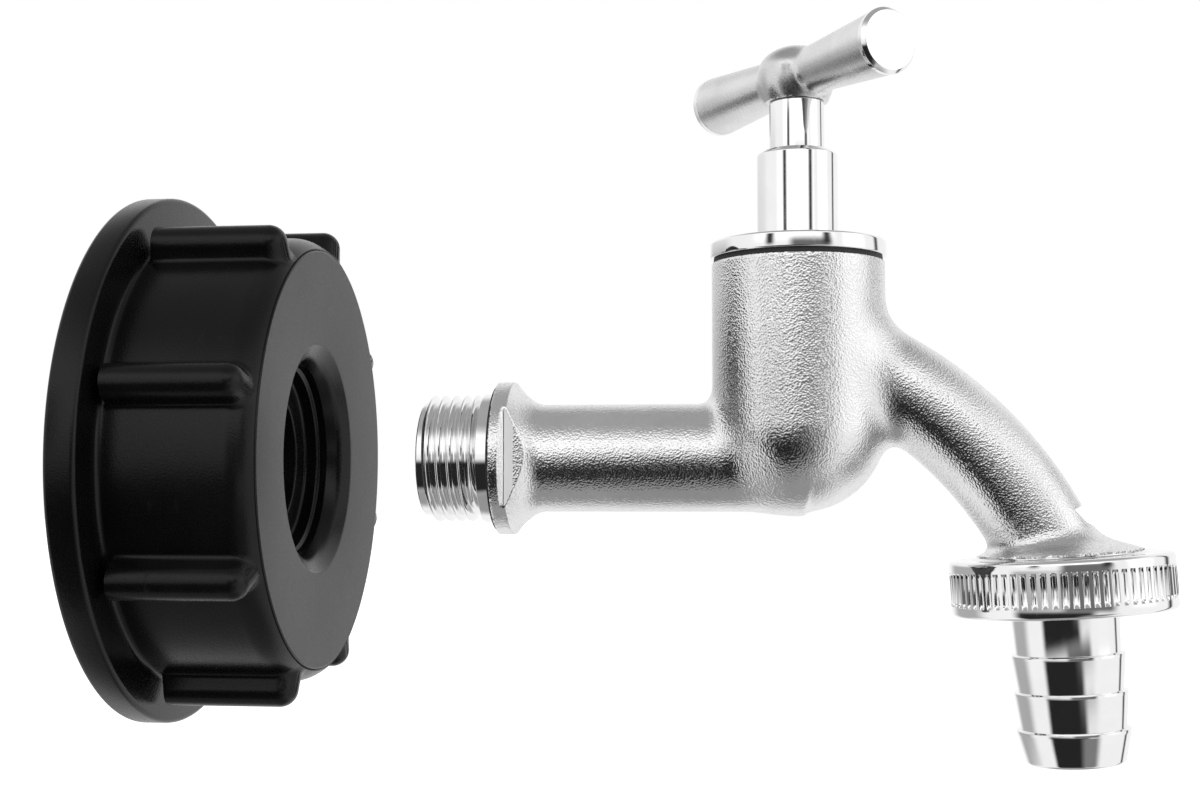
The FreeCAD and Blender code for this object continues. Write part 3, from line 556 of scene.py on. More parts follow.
@dataclass(frozen=True)
class Finish:
    """A surface finish: base colour, gloss range and the grain and wear that vary them."""

    name: str
    color: tuple[float, float, float]
    dark: tuple[float, float, float]
    metallic: float
    rough_low: float
    rough_high: float
    grain_scale: float
    grain_coarse: float
    bump: float
    bump_depth: float
    wear_scale: float = 90.0
    scratches: float = 0.0
    specular: float = 0.5

    def material(self, effects: Effects) -> bpy.types.Material:
        """Builds the finish as a material.

        Args:
            effects: The shared node groups.

        Returns:
            The material.
        """
        made = bpy.data.materials.new(self.name)
        made.use_nodes = True
        nodes = Nodes(made.node_tree)
        shader = made.node_tree.nodes["Principled BSDF"]
        shader.inputs["Metallic"].default_value = self.metallic
        shader.inputs["Specular IOR Level"].default_value = self.specular
        grain = effects.place(nodes, Effect.GRAIN, Scale=self.grain_scale, Coarse=self.grain_coarse)
        wear = effects.place(nodes, Effect.WEAR, Scale=self.wear_scale)
        tint = nodes.add("ShaderNodeMix", data_type="RGBA")
        tint.inputs["A"].default_value = (*self.color, 1)
        tint.inputs["B"].default_value = (*self.dark, 1)
        nodes.link(wear.outputs["Mask"], tint.inputs["Factor"])
        nodes.link(tint.outputs["Result"], shader.inputs["Base Color"])
        gloss = nodes.add("ShaderNodeMapRange", clamp=True)
        gloss.inputs["From Min"].default_value = 0.3
        gloss.inputs["From Max"].default_value = 0.75
        gloss.inputs["To Min"].default_value = self.rough_low
        gloss.inputs["To Max"].default_value = self.rough_high
        nodes.link(grain.outputs["Mask"], gloss.inputs["Value"])
        roughness = gloss.outputs["Result"]
        if self.scratches:
            lines = effects.place(nodes, Effect.SCRATCHES)
            dull = nodes.add("ShaderNodeMath", operation="MULTIPLY_ADD", use_clamp=True)
            dull.inputs[1].default_value = self.scratches
            nodes.link(lines.outputs["Mask"], dull.inputs[0])
            nodes.link(roughness, dull.inputs[2])
            roughness = dull.outputs[0]
        nodes.link(roughness, shader.inputs["Roughness"])
        bump = nodes.add("ShaderNodeBump")
        bump.inputs["Strength"].default_value = self.bump
        bump.inputs["Distance"].default_value = self.bump_depth * MM
        nodes.link(grain.outputs["Height"], bump.inputs["Height"])
        nodes.link(bump.outputs["Normal"], shader.inputs["Normal"])
        return made


BLACK_PLASTIC = Finish("moulded_black", (0.0022, 0.0022, 0.0024), (0.005, 0.005, 0.0054), 0.0, 0.20, 0.32,
                       3200, 500, 0.20, 0.05, wear_scale=60, scratches=0.15, specular=0.24)
# Same black plastic with a lighter base colour for the cap's front face: painted sheen, standing in for the
# grazing reflection that makes the face look grey.
BLACK_PAINTED_SHEEN = Finish("moulded_black_painted_sheen", (0.034, 0.034, 0.035), (0.05, 0.05, 0.051), 0.0, 0.42, 0.60,
                    4200, 900, 0.35, 0.05, wear_scale=45, specular=0.5)
CAST_SKIN = Finish("sand_cast_plate", (0.82, 0.82, 0.82), (0.72, 0.72, 0.72), 1.0, 0.13, 0.22,
                   3000, 1100, 0.75, 0.07, wear_scale=70)
BRIGHT_PLATE = Finish("polished_plate", (0.90, 0.90, 0.90), (0.84, 0.84, 0.84), 1.0, 0.045, 0.10,
                      900, 200, 0.03, 0.02, wear_scale=120, scratches=0.06)
SATIN_PLATE = Finish("satin_plate", (0.78, 0.78, 0.78), (0.66, 0.66, 0.66), 1.0, 0.24, 0.36,
                     2600, 600, 0.22, 0.04, wear_scale=110)
TURNED_FACE = Finish("turned_face", (0.92, 0.92, 0.92), (0.84, 0.84, 0.84), 1.0, 0.16, 0.26,
                     2200, 500, 0.05, 0.02, wear_scale=100)
RUBBER = Finish("black_rubber", (0.018, 0.018, 0.018), (0.03, 0.03, 0.03), 0.0, 0.55, 0.75,
                2400, 600, 0.2, 0.03)
NYLON = Finish("pale_nylon", (0.78, 0.77, 0.72), (0.70, 0.69, 0.63), 0.0, 0.35, 0.5, 2000, 500, 0.1, 0.02)
BRASS = Finish("turned_brass", (0.74, 0.55, 0.24), (0.60, 0.42, 0.17), 1.0, 0.18, 0.32, 2000, 500, 0.1, 0.02)
STEEL = Finish("plain_steel", (0.62, 0.62, 0.62), (0.5, 0.5, 0.5), 1.0, 0.2, 0.34, 2000, 500, 0.1, 0.02)
FINISHES = (
    BLACK_PLASTIC, BLACK_PAINTED_SHEEN, CAST_SKIN, BRIGHT_PLATE, SATIN_PLATE, TURNED_FACE, RUBBER, NYLON, BRASS, STEEL,
)


# ---------------------------------------------------------------- the cap

@dataclass
class AdapterCap:
    """The black moulded cap with its grip ribs, cup, boss and inner threads."""

    rim_edge: float = 0.8
    rim_thickness: float = 5.0
    cap_radius: float = 37.0
    crease_radius: float = 35.0
    shoulder_length: float = 4.5
    face_dish: float = 0.9
    mouth_radius: float = 16.0
    mouth_round: float = 3.3
    cup_wall: float = 3.5
    cup_depth: float = 7.5
    boss_radius: float = 14.2
    boss_length: float = 12.4
    boss_bore: float = 10.53
    tank_radius: float = 30.2
    tank_depth: float = 22.5
    rib_outer: float = 41.5
    rib_width: float = 5.8
    rib_end: float = 26.9
    rib_count: int = 8
    rib_phase: float = 29.2
    rib_blend: float = 1.1
    columns: int = 1120
    inlet_thread: ThreadForm = field(default_factory=lambda: ThreadForm(1.8143, 1.1, 0.25, 1.5))
    tank_thread: ThreadForm = field(default_factory=lambda: ThreadForm(6.0, 2.6, 1.5, 4.6, 0.9))

    def __post_init__(self) -> None:
        """Reads the cap's ends and rim from the frame."""
        self.back = lowest("adapter_cap").x
        self.front = highest("adapter_cap").x
        self.rim_radius = highest("adapter_cap").z

    def body_outline(self) -> tuple[list[tuple[float, float]], int, int]:
        """Works out the cap's outline from the rim round to the front, through the cup and back.

        Returns:
            The outline as radius and run, and the indexes between which the ribs stand.
        """
        rim_front = self.back + self.rim_thickness
        face = self.front - self.face_dish
        floor = face - self.cup_depth
        fine = rounded([
            (self.tank_radius + 1.0, self.back, 0.2),
            (self.rim_radius, self.back, self.rim_edge),
            (self.rim_radius, rim_front, self.rim_edge),
            (self.cap_radius, rim_front, 1.0),
            (self.cap_radius, rim_front + 3, 0),
        ])
        outer = [tuple(point) for point in fine[:-1]]
        first = len(outer)
        straight = np.linspace(rim_front + 1.2, self.front - self.shoulder_length, 56)[1:]
        outer += [(self.cap_radius, run) for run in straight]
        drop = self.cap_radius - self.crease_radius
        bend = (self.shoulder_length ** 2 + drop ** 2) / (2 * drop)
        for step in np.linspace(0, 1, 20)[1:-1]:
            run = self.shoulder_length * step
            outer.append((self.cap_radius - bend + math.sqrt(bend ** 2 - run ** 2),
                          self.front - self.shoulder_length + run))
        last = len(outer)
        inner = rounded([
            (self.crease_radius, self.front, 0.35),
            (self.mouth_radius + self.mouth_round, face, 1.2),
            (self.mouth_radius + 0.9, face - 1.4, 2.2),
            (self.mouth_radius, face - 3.6, 0.8),
            (self.mouth_radius, floor + 2.6, 0.25),
            (self.mouth_radius - 0.7, floor + 2.3, 0.25),
            (self.mouth_radius - 0.7, floor, 0.6),
            (10.9, floor, 0.3),
            (10.9, floor - 2.8, 0.2),
            (self.boss_bore, floor - 3.0, 0.1),
            (self.boss_bore, floor - self.boss_length, 0.3),
            (self.boss_radius, floor - self.boss_length, 0.5),
            (self.boss_radius, floor - 3.2, 0.8),
            (self.mouth_radius + self.cup_wall, floor - 3.2, 0.8),
            (self.mouth_radius + self.cup_wall, self.tank_depth, 1.0),
            (self.tank_radius, self.tank_depth, 0.6),
            (self.tank_radius, 0.0, 0.3),
        ])
        return outer + [tuple(point) for point in inner], first, last

    def rib_field(self, radius: np.ndarray, angle: np.ndarray, run: np.ndarray) -> np.ndarray:
        """Gives the distance to the nearest rib, with straight sides, round back and round nose.

        Args:
            radius: Distance from the axis.
            angle: Angle about the axis.
            run: Run along the axis.

        Returns:
            The distance, negative inside.
        """
        half = self.rib_width / 2
        crown = self.rib_outer - half
        spacing = TURN / self.rib_count
        away = (angle - math.radians(self.rib_phase) + spacing / 2) % spacing - spacing / 2
        across = radius * np.sin(away)
        past = np.maximum(run - (self.rib_end - half), 0)
        flat = np.hypot(across, past)
        above = np.maximum(radius * np.cos(away) - crown, 0)
        return np.hypot(flat, above) - half

    def shell(self) -> bpy.types.Object:
        """Skins the outline all round and lifts the grip ribs out of its side.

        Returns:
            The shell.
        """
        outline, first, last = self.body_outline()
        places = np.array(outline)
        angle = np.linspace(0, TURN, self.columns, endpoint=False)
        radius, angles = np.meshgrid(places[:, 0], angle, indexing="ij")
        run = np.repeat(places[:, 1][:, None], self.columns, axis=1)
        body = radius[first:last].copy()
        low, high = body - 0.6, np.full_like(body, self.rib_outer + 0.4)
        for _ in range(26):
            middle = (low + high) / 2
            near_rib = self.rib_field(middle, angles[first:last], run[first:last])
            outside = smooth_union(middle - body, near_rib, self.rib_blend) > 0
            high = np.where(outside, middle, high)
            low = np.where(outside, low, middle)
        radius[first:last] = (low + high) / 2
        return mesh_from_rows("cap_shell", INLET.points(radius, angles, run), True, 60)

    def build(self, looks: dict[str, bpy.types.Material]) -> None:
        """Makes the shell and its two inner threads.

        Args:
            looks: The materials by name.
        """
        shell = self.shell()
        floor = self.front - self.face_dish - self.cup_depth
        tip = lowest("valve_body").x
        boss = thread_ridge("cap_boss_thread", INLET, self.inlet_thread, self.boss_bore + 0.02,
                            floor - self.boss_length + 0.4, floor - 3.2, tip, True)
        tank = thread_ridge("cap_tank_thread", INLET, self.tank_thread, self.tank_radius + 0.1, 1.0,
                            self.tank_depth - 3.2, 1.5, True, 180)
        for piece in (shell, boss, tank):
            piece.data.materials.append(looks["moulded_black"])
            piece.data.materials.append(looks["moulded_black_painted_sheen"])
            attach(piece, "adapter")
        # The flat front face inside the crease gets the lighter black: painted sheen in place of the grazing
        # reflection.
        for face in shell.data.polygons:
            out = math.hypot(face.center.y, face.center.z) / MM
            flat = face.normal.x > 0.9 and face.center.x / MM > self.front - self.face_dish - 0.8
            face.material_index = 1 if flat and out < self.crease_radius else 0
        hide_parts("adapter_cap")
        LOG.info("cap: shell with %d ribs, boss thread and tank thread", self.rib_count)


# ---------------------------------------------------------------- the cast tap

@dataclass
class CastBody:
    """The plated casting: collar, pipe, chamber, spout and outlet, with the inlet stub."""

    stub_length: float = 12.4
    shank_length: float = 2.4
    shank_radius: float = 10.65
    thread_radius: float = 10.4775
    collar_radius: float = 12.6
    collar_width: float = 2.5
    cone_length: float = 5.2
    pipe_radius: float = 8.8
    bore_radius: float = 5.3
    flat_half: float = 9.7
    flat_start: float = 1.7
    flat_length: float = 7.0
    body_radius: float = 14.05
    ball_height: float = 5.2
    top: float = 31.6
    spout_radius: float = 7.9
    bend: float = 62.0
    start_height: float = 18.6
    start_slope: float = 16.0
    end_slope: float = 70.0
    outlet_radius: float = 13.2
    face_rise: float = 0.4
    thread_length: float = 4.0
    dome_rise: float = 2.6
    dome_top: float = 5.0
    trim_reach: float = 25.0
    voxel: float = 0.30
    thread: ThreadForm = field(default_factory=lambda: ThreadForm(1.8143, 1.12, 0.28, 1.72))

    def __post_init__(self) -> None:
        """Works out the run of the collar and the centre of the spout's bend."""
        self.tip = lowest("valve_body").x
        self.collar = self.tip + self.stub_length
        self.bend_x = STEM.origin.x - self.bend * math.sin(math.radians(self.start_slope))
        self.bend_z = self.start_height - self.bend * math.cos(math.radians(self.start_slope))

    def cone_radius(self, run: np.ndarray) -> np.ndarray:
        """Gives the radius of the collar, its hollow cone and the pipe at a run.

        Args:
            run: Run along the inlet axis.

        Returns:
            The radius.
        """
        past = np.clip((run - self.collar - self.collar_width) / self.cone_length, 0, 1)
        hollow = (1 - past) ** 1.9
        return self.pipe_radius + (self.collar_radius - self.pipe_radius) * hollow

    def inlet_field(self, points: np.ndarray) -> np.ndarray:
        """Gives the distance to the collar, cone and pipe."""
        radius, run = INLET.local(points)
        side = (radius - self.cone_radius(run)) * 0.85
        return np.maximum(np.maximum(side, self.collar - run), run - STEM.origin.x)

    def chamber_field(self, points: np.ndarray) -> np.ndarray:
        """Gives the distance to the upright chamber with its half-ball bottom."""
        x = points[:, 0] - STEM.origin.x
        below = np.minimum(points[:, 2] - self.ball_height, 0)
        return np.sqrt(x ** 2 + points[:, 1] ** 2 + below ** 2) - self.body_radius

    def spout_field(self, points: np.ndarray) -> np.ndarray:
        """Gives the distance to the bent spout."""
        x, z = points[:, 0] - self.bend_x, points[:, 2] - self.bend_z
        slope = np.degrees(np.arctan2(x, z))
        held = np.radians(np.clip(slope, self.start_slope, self.end_slope + 6))
        near_x, near_z = self.bend * np.sin(held), self.bend * np.cos(held)
        return np.sqrt((x - near_x) ** 2 + (z - near_z) ** 2 + points[:, 1] ** 2) - self.spout_radius

    def dome_field(self, points: np.ndarray) -> np.ndarray:
        """Gives the distance to the low dome above the outlet's thread."""
        radius, run = OUTLET.local(points)
        shoulder = self.face_rise + self.thread_length
        lean = math.atan2(self.dome_rise, self.outlet_radius - 0.8 - self.dome_top)
        slant = (run - shoulder - 0.5) * math.cos(lean) + (radius - self.outlet_radius + 0.8) * math.sin(lean)
        return np.maximum(np.maximum(slant, radius - self.outlet_radius), shoulder - run)

    def casting_field(self, points: np.ndarray) -> np.ndarray:
        """Joins the four forms with fillets and trims them at the outlet and the top."""
        whole = smooth_union(self.chamber_field(points), self.inlet_field(points), 2.6)
        whole = smooth_union(whole, self.spout_field(points), 4.2)
        whole = smooth_union(whole, self.dome_field(points), 2.2)
        _, run = OUTLET.local(points)
        near_outlet = np.abs(points[:, 0] - OUTLET.origin.x) < self.trim_reach
        trim = np.where(near_outlet, self.face_rise + self.thread_length - run, -self.trim_reach)
        return np.maximum(np.maximum(whole, trim), points[:, 2] - self.top)

    def spout_source(self) -> bpy.types.Object:
        """Makes the rough tube that seeds the spout's part of the skin.

        Returns:
            The tube, closed at both ends.
        """
        slopes = np.radians(np.linspace(self.start_slope - 4, self.end_slope - 2, 40))
        around = np.linspace(0, TURN, 64, endpoint=False)
        slope, turn = np.meshgrid(slopes, around, indexing="ij")
        reach = self.bend + self.spout_radius * np.cos(turn)
        points = np.stack([
            self.bend_x + reach * np.sin(slope), self.spout_radius * np.sin(turn),
            self.bend_z + reach * np.cos(slope),
        ], axis=-1)
        ends = points.mean(axis=1, keepdims=True)
        closed = np.concatenate([np.repeat(ends[:1], 64, 1), points, np.repeat(ends[-1:], 64, 1)])
        return mesh_from_rows("spout_seed", closed, False)

    def casting(self) -> bpy.types.Object:
        """Fuses the forms into one cast skin, mills the flats and drills both ends.

        Returns:
            The casting.
        """
        centre = STEM.origin.x
        shoulder = self.face_rise + self.thread_length
        runs = np.linspace(self.collar, self.collar + self.collar_width + self.cone_length, 24)
        profile = [(float(self.cone_radius(np.array(run))), float(run), 0.0) for run in runs]
        inlet = lathe("inlet_seed", INLET, [
            (0, self.collar, 0), *profile, (self.pipe_radius, centre, 0), (0, centre, 0),
        ], 128)
        ball = [(self.body_radius * math.sin(a), self.ball_height - self.body_radius * math.cos(a), 0.0)
                for a in np.linspace(0, math.pi / 2, 32)]
        chamber = lathe("chamber_seed", STEM, [
            *ball, (self.body_radius, self.top, 0), (0, self.top, 0),
        ], 128)
        dome = lathe("dome_seed", OUTLET, [
            (0, shoulder, 0), (self.outlet_radius, shoulder, 0),
            (self.outlet_radius - 0.8, shoulder + 0.5, 0),
            (self.dome_top, shoulder + self.dome_rise, 0), (0, shoulder + self.dome_rise, 0),
        ], 128)
        seeds = [inlet, chamber, self.spout_source(), dome]
        skin = fused_skin("cast_body", seeds, self.voxel, self.casting_field)
        self.mill_flats(skin)
        bore = lathe("inlet_cutter", INLET, [
            (0, self.collar - 2, 0), (self.bore_radius, self.collar - 2, 0),
            (self.bore_radius, centre - 4, 0), (0, centre - 4, 0),
        ], 96)
        drain = lathe("outlet_cutter", OUTLET, [
            (0, shoulder - 3, 0), (5.6, shoulder - 3, 0), (5.6, shoulder + 7, 0), (0, shoulder + 9, 0),
        ], 96)
        drill(skin, [bore, drain])
        return skin

    def mill_flats(self, skin: bpy.types.Object) -> None:
        """Presses the collar's two sides flat between the flats' ends.

        Args:
            skin: The cast skin.
        """
        mesh = skin.data
        flat = np.empty(len(mesh.vertices) * 3)
        mesh.vertices.foreach_get("co", flat)
        places = flat.reshape(-1, 3) / MM
        start = self.collar + self.flat_start
        inside = (places[:, 0] > start) & (places[:, 0] < start + self.flat_length)
        places[inside, 1] = np.clip(places[inside, 1], -self.flat_half, self.flat_half)
        mesh.vertices.foreach_set("co", (places * MM).ravel())
        mesh.update()

    def stub(self) -> list[bpy.types.Object]:
        """Makes the inlet stub: bored core with its plain shank, and the thread.

        Returns:
            The core and the thread.
        """
        root = self.thread_radius - self.thread.height
        core = lathe("inlet_stub", INLET, [
            (self.bore_radius, self.tip, 0.5),
            (root, self.tip, 0.25),
            (root, self.collar - self.shank_length, 0.1),
            (self.shank_radius, self.collar - self.shank_length, 0.15),
            (self.shank_radius, self.collar + 0.4, 0),
            (self.bore_radius, self.collar + 0.4, 0),
        ])
        ridge = thread_ridge("inlet_thread", INLET, self.thread, root - 0.03, self.tip + 0.05,
                             self.collar - self.shank_length + 0.3, self.tip + self.thread.pitch / 2)
        return [core, ridge]

    def outlet(self) -> list[bpy.types.Object]:
        """Makes the threaded stub that the union nut turns on.

        Returns:
            The core and the thread.
        """
        root = self.outlet_radius - self.thread.height
        top = self.face_rise + self.thread_length + 0.3
        core = lathe("outlet_stub", OUTLET, [
            (5.6, self.face_rise, 0.4), (root, self.face_rise, 0.3), (root, top, 0), (5.6, top, 0),
        ])
        ridge = thread_ridge("outlet_thread", OUTLET, self.thread, root - 0.03, self.face_rise + 0.1,
                             top - 0.35, self.face_rise + self.thread.pitch / 2)
        return [core, ridge]

    def build(self, looks: dict[str, bpy.types.Material]) -> None:
        """Makes the casting and its two threaded ends.

        Args:
            looks: The materials by name.
        """
        skin = self.casting()
        skin.data.materials.clear()
        skin.data.materials.append(looks["sand_cast_plate"])
        skin.data.materials.append(looks["polished_plate"])
        for face in skin.data.polygons:
            near_flat = abs(abs(face.center.y) / MM - self.flat_half) < 0.06 and abs(face.normal.y) > 0.98
            in_band = face.center.x / MM < self.collar + self.collar_width + 1.2
            face.material_index = 1 if near_flat and in_band else 0
        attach(skin, "tap")
        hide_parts("valve_body")
        for piece in (*self.stub(), *self.outlet()):
            piece.data.materials.append(looks["polished_plate"])
            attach(piece, "tap")
        LOG.info("tap: casting of %d faces and two threaded ends", len(skin.data.polygons))


# ---------------------------------------------------------------- the headwork

@dataclass
class Headwork:
    """The bonnet with its neck, and the spindle that rises out of it."""

    flange_thickness: float = 2.6
    flange_edge: float = 0.45
    neck_radius: float = 6.6
    neck_bevel: float = 1.0
    stem_radius: float = 4.5
    stem_bore: float = 4.55
    thread_bore: float = 6.05
    spigot_radius: float = 10.95
    roof: float = 0.5
    foot_radius: float = 4.4
    foot_bore: float = 2.55
    foot_depth: float = 7.4
    thread_rise: float = 9.1
    thread_length: float = 6.6
    square_length: float = 5.6
    seal_section: float = 0.63
    thread: ThreadForm = field(default_factory=lambda: ThreadForm(2.0, 0.9, 0.5, 1.7))

    def __post_init__(self) -> None:
        """Reads the heights from the frame."""
        self.foot = lowest("bonnet").z
        self.neck_top = highest("bonnet").z
        self.flange_bottom = highest("bonnet_seal").z
        self.flange_top = self.flange_bottom + self.flange_thickness
        self.flange_radius = highest("bonnet").y
        self.spindle_bottom = lowest("spindle").z
        self.stem_top = highest("spindle").z - self.square_length

    def bonnet(self) -> bpy.types.Object:
        """Turns the bonnet: spigot, flange and bevelled neck round the spindle's bore.

        Returns:
            The bonnet.
        """
        return lathe("bonnet_turned", STEM, [
            (self.thread_bore, self.foot, 0.2),
            (self.spigot_radius, self.foot, 0.4),
            (self.spigot_radius, self.flange_bottom, 0.1),
            (self.flange_radius, self.flange_bottom, 0.25),
            (self.flange_radius, self.flange_top, self.flange_edge),
            (self.neck_radius, self.flange_top, 0.25),
            (self.neck_radius, self.neck_top - self.neck_bevel * 0.75, 0.35),
            (self.neck_radius - self.neck_bevel, self.neck_top, 0.25),
            (self.stem_bore, self.neck_top, 0.15),
            (self.stem_bore, self.flange_top - self.roof, 0.1),
            (self.thread_bore, self.flange_top - self.roof, 0.1),
        ])

    def spindle(self) -> bpy.types.Object:
        """Turns the spindle: hollow foot, thread core, sealed stem and the end under the handle.

        Returns:
            The spindle.
        """
        low = self.spindle_bottom
        thread_low = low + self.thread_rise
        thread_high = thread_low + self.thread_length
        crest = self.thread_bore - 0.05
        core = crest - self.thread.height
        corners = [
            (self.foot_bore, low, 0.1), (self.foot_radius, low, 0.2), (self.foot_radius, thread_low, 0.1),
            (core, thread_low, 0.1), (core, thread_high - 0.5, 0.1),
            (crest, thread_high - 0.5, 0.1), (crest, thread_high, 0.1), (self.stem_radius, thread_high, 0.1),
        ]
        groove = self.stem_bore - self.seal_section * 2 - 0.08
        half = self.seal_section + 0.05
        for node in ("lower_stem_seal", "upper_stem_seal"):
            middle = (lowest(node).z + highest(node).z) / 2
            corners += [(self.stem_radius, middle - half, 0.05), (groove, middle - half, 0.05),
                        (groove, middle + half, 0.05), (self.stem_radius, middle + half, 0.05)]
        corners += [
            (self.stem_radius, self.stem_top, 0.2), (0, self.stem_top, 0),
            (0, low + self.foot_depth, 0), (self.foot_bore, low + self.foot_depth, 0.05),
        ]
        return lathe("spindle_turned", STEM, corners)

    def square(self) -> bpy.types.Object:
        """Makes the square end that carries the handle, with broken edges.

        Returns:
            The square.
        """
        turn = math.atan2(*Vector(handle_way()).xy)
        half, broken = 3.0, 0.35
        outline = []
        for quarter in range(4):
            for x, y in ((half, -half + broken), (half, half - broken)):
                angle = quarter * math.pi / 2 - turn
                cosine, sine = math.cos(angle), math.sin(angle)
                outline.append((x * cosine - y * sine, x * sine + y * cosine))
        flat = np.array(outline)
        levels = (self.stem_top - 0.3, self.stem_top + self.square_length)
        rows = [np.zeros_like(flat), flat, flat, np.zeros_like(flat)]
        heights = [levels[0], levels[0], levels[1], levels[1]]
        points = np.stack([np.column_stack([row + [STEM.origin.x, 0], np.full(len(row), z)])
                           for row, z in zip(rows, heights)])
        return mesh_from_rows("spindle_square", points, False)

    def build(self, looks: dict[str, bpy.types.Material]) -> None:
        """Makes the bonnet, the spindle and the spindle's thread.

        Args:
            looks: The materials by name.
        """
        bonnet = self.bonnet()
        bonnet.data.materials.append(looks["polished_plate"])
        bonnet.data.materials.append(looks["sand_cast_plate"])
        for face in bonnet.data.polygons:
            out = math.hypot(face.center.x / MM - STEM.origin.x, face.center.y / MM)
            on_top = face.normal.z > 0.9
            face.material_index = 1 if on_top and out > self.neck_radius + 0.4 else 0
        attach(bonnet, "tap")
        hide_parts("bonnet")
        thread_low = self.spindle_bottom + self.thread_rise
        root = self.thread_bore - 0.05 - self.thread.height
        ridge = thread_ridge("spindle_thread", STEM, self.thread, root, thread_low,
                             thread_low + self.thread_length - 0.4, thread_low)
        spindle = self.spindle()
        for piece in (spindle, self.square(), ridge):
            piece.data.materials.append(looks["polished_plate"])
            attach(piece, "spindle_group")
        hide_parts("spindle")
        LOG.info("headwork: bonnet, spindle, square and thread")


def handle_way() -> tuple[float, float, float]:
    """Returns the way the handle's near arm points, from the handle's box in the frame.

    Returns:
        A unit direction in the row frame.
    """
    low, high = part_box("t_handle")
    reach_x, reach_y = (high.x - low.x) / 2, (high.y - low.y) / 2
    end = 5.15 * MM
    angle = math.radians(35.3)
    for _ in range(20):
        length = (reach_y - end * math.sin(angle)) / math.cos(angle)
        angle = math.asin(min(1, (reach_x - end * math.cos(angle)) / length))
    return math.sin(angle), -math.cos(angle), 0.0


# ---------------------------------------------------------------- the handle

@dataclass
class THandle:
    """The cast handle: a ball-like hub and two arms that widen to turned ends."""

    hub_radius: float = 6.3
    hub_shoulder: float = 4.4
    foot_radius: float = 4.9
    bar_rise: float = 4.5
    half_length: float = 24.6
    root_radius: float = 3.5
    end_radius: float = 5.15
    cap_length: float = 1.3
    chamfer: float = 0.55
    blend: float = 1.0
    voxel: float = 0.22

    def __post_init__(self) -> None:
        """Reads the hub's height and the arms' direction from the frame."""
        self.foot = Headwork().stem_top + 0.05
        self.hub_top = self.foot + 9.35
        self.way = Vector(handle_way())
        middle = Vector((STEM.origin.x, 0, self.foot + self.bar_rise - 0.05))
        self.bar = Axis(middle, self.way, Vector((0, 0, 1)))

    def hub_field(self, points: np.ndarray) -> np.ndarray:
        """Gives the distance to the ball-like hub."""
        x = points[:, 0] - STEM.origin.x
        radius = np.hypot(x, points[:, 1])
        waist = self.hub_top - self.hub_shoulder
        rise = points[:, 2] - waist
        below = self.hub_radius / (waist - self.foot + 3.4)
        stretch = np.where(rise > 0, self.hub_radius / self.hub_shoulder, below)
        ball = np.sqrt(radius ** 2 + (rise * stretch) ** 2) - self.hub_radius
        return np.maximum(ball * 0.8, self.foot - points[:, 2])

    def arm_field(self, points: np.ndarray) -> np.ndarray:
        """Gives the distance to the two widening arms."""
        radius, run = self.bar.local(points)
        reach = np.abs(run)
        share = np.clip(reach / self.half_length, 0, 1)
        width = self.root_radius + (self.end_radius - self.root_radius) * share
        return np.maximum(radius - width, reach - (self.half_length - self.cap_length))

    def handle_field(self, points: np.ndarray) -> np.ndarray:
        """Joins hub and arms with a small fillet."""
        return smooth_union(self.hub_field(points), self.arm_field(points), self.blend)

    def casting(self) -> bpy.types.Object:
        """Fuses the hub and the arms and bores the socket for the stem.

        Returns:
            The casting.
        """
        waist = self.hub_top - self.hub_shoulder
        ball = []
        for angle in np.linspace(math.pi / 2, 0, 16):
            ball.append((self.hub_radius * math.cos(angle), waist + self.hub_shoulder * math.sin(angle), 0.0))
        hub = lathe("hub_seed", STEM, [*ball, (self.foot_radius, self.foot, 0), (0, self.foot, 0)], 96)
        reach = self.half_length - self.cap_length
        width = self.root_radius + (self.end_radius - self.root_radius) * reach / self.half_length
        arms = lathe("arm_seed", self.bar, [
            (0, -reach, 0), (width, -reach, 0), (self.root_radius, 0, 0), (width, reach, 0), (0, reach, 0),
        ], 96)
        return fused_skin("handle_cast", [hub, arms], self.voxel, self.handle_field)

    def end(self, name: str, side: int) -> bpy.types.Object:
        """Turns one arm's end: a short land, a chamfer and a faintly coned face.

        Args:
            name: Name of the piece.
            side: 1 for the near arm, -1 for the far arm.

        Returns:
            The end.
        """
        reach = self.half_length * side
        inner = (self.half_length - self.cap_length - 0.15) * side
        grow = (self.end_radius - self.root_radius) / self.half_length
        face = self.end_radius - self.chamfer
        return lathe(name, self.bar, [
            (0, inner, 0),
            (self.end_radius - grow * (self.cap_length + 0.15) + 0.015, inner, 0),
            (self.end_radius + 0.01, reach - self.chamfer * side, 0.12),
            (face, reach, 0.08),
            (0.6, reach - 0.06 * side, 0),
            (0, reach - 0.12 * side, 0),
        ])

    def build(self, looks: dict[str, bpy.types.Material]) -> None:
        """Makes the handle's casting and its two turned ends.

        Args:
            looks: The materials by name.
        """
        casting = self.casting()
        casting.data.materials.clear()
        casting.data.materials.append(looks["satin_plate"])
        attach(casting, "spindle_group")
        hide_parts("t_handle")
        for name, side in (("handle_near_end", 1), ("handle_far_end", -1)):
            end = self.end(name, side)
            end.data.materials.append(looks["polished_plate"])
            end.data.materials.append(looks["turned_face"])
            for face in end.data.polygons:
                face.material_index = 1 if abs(face.normal.dot(self.way)) > 0.97 else 0
            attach(end, "spindle_group")
        LOG.info("handle: casting and two turned ends")


# ---------------------------------------------------------------- the union and the nozzle

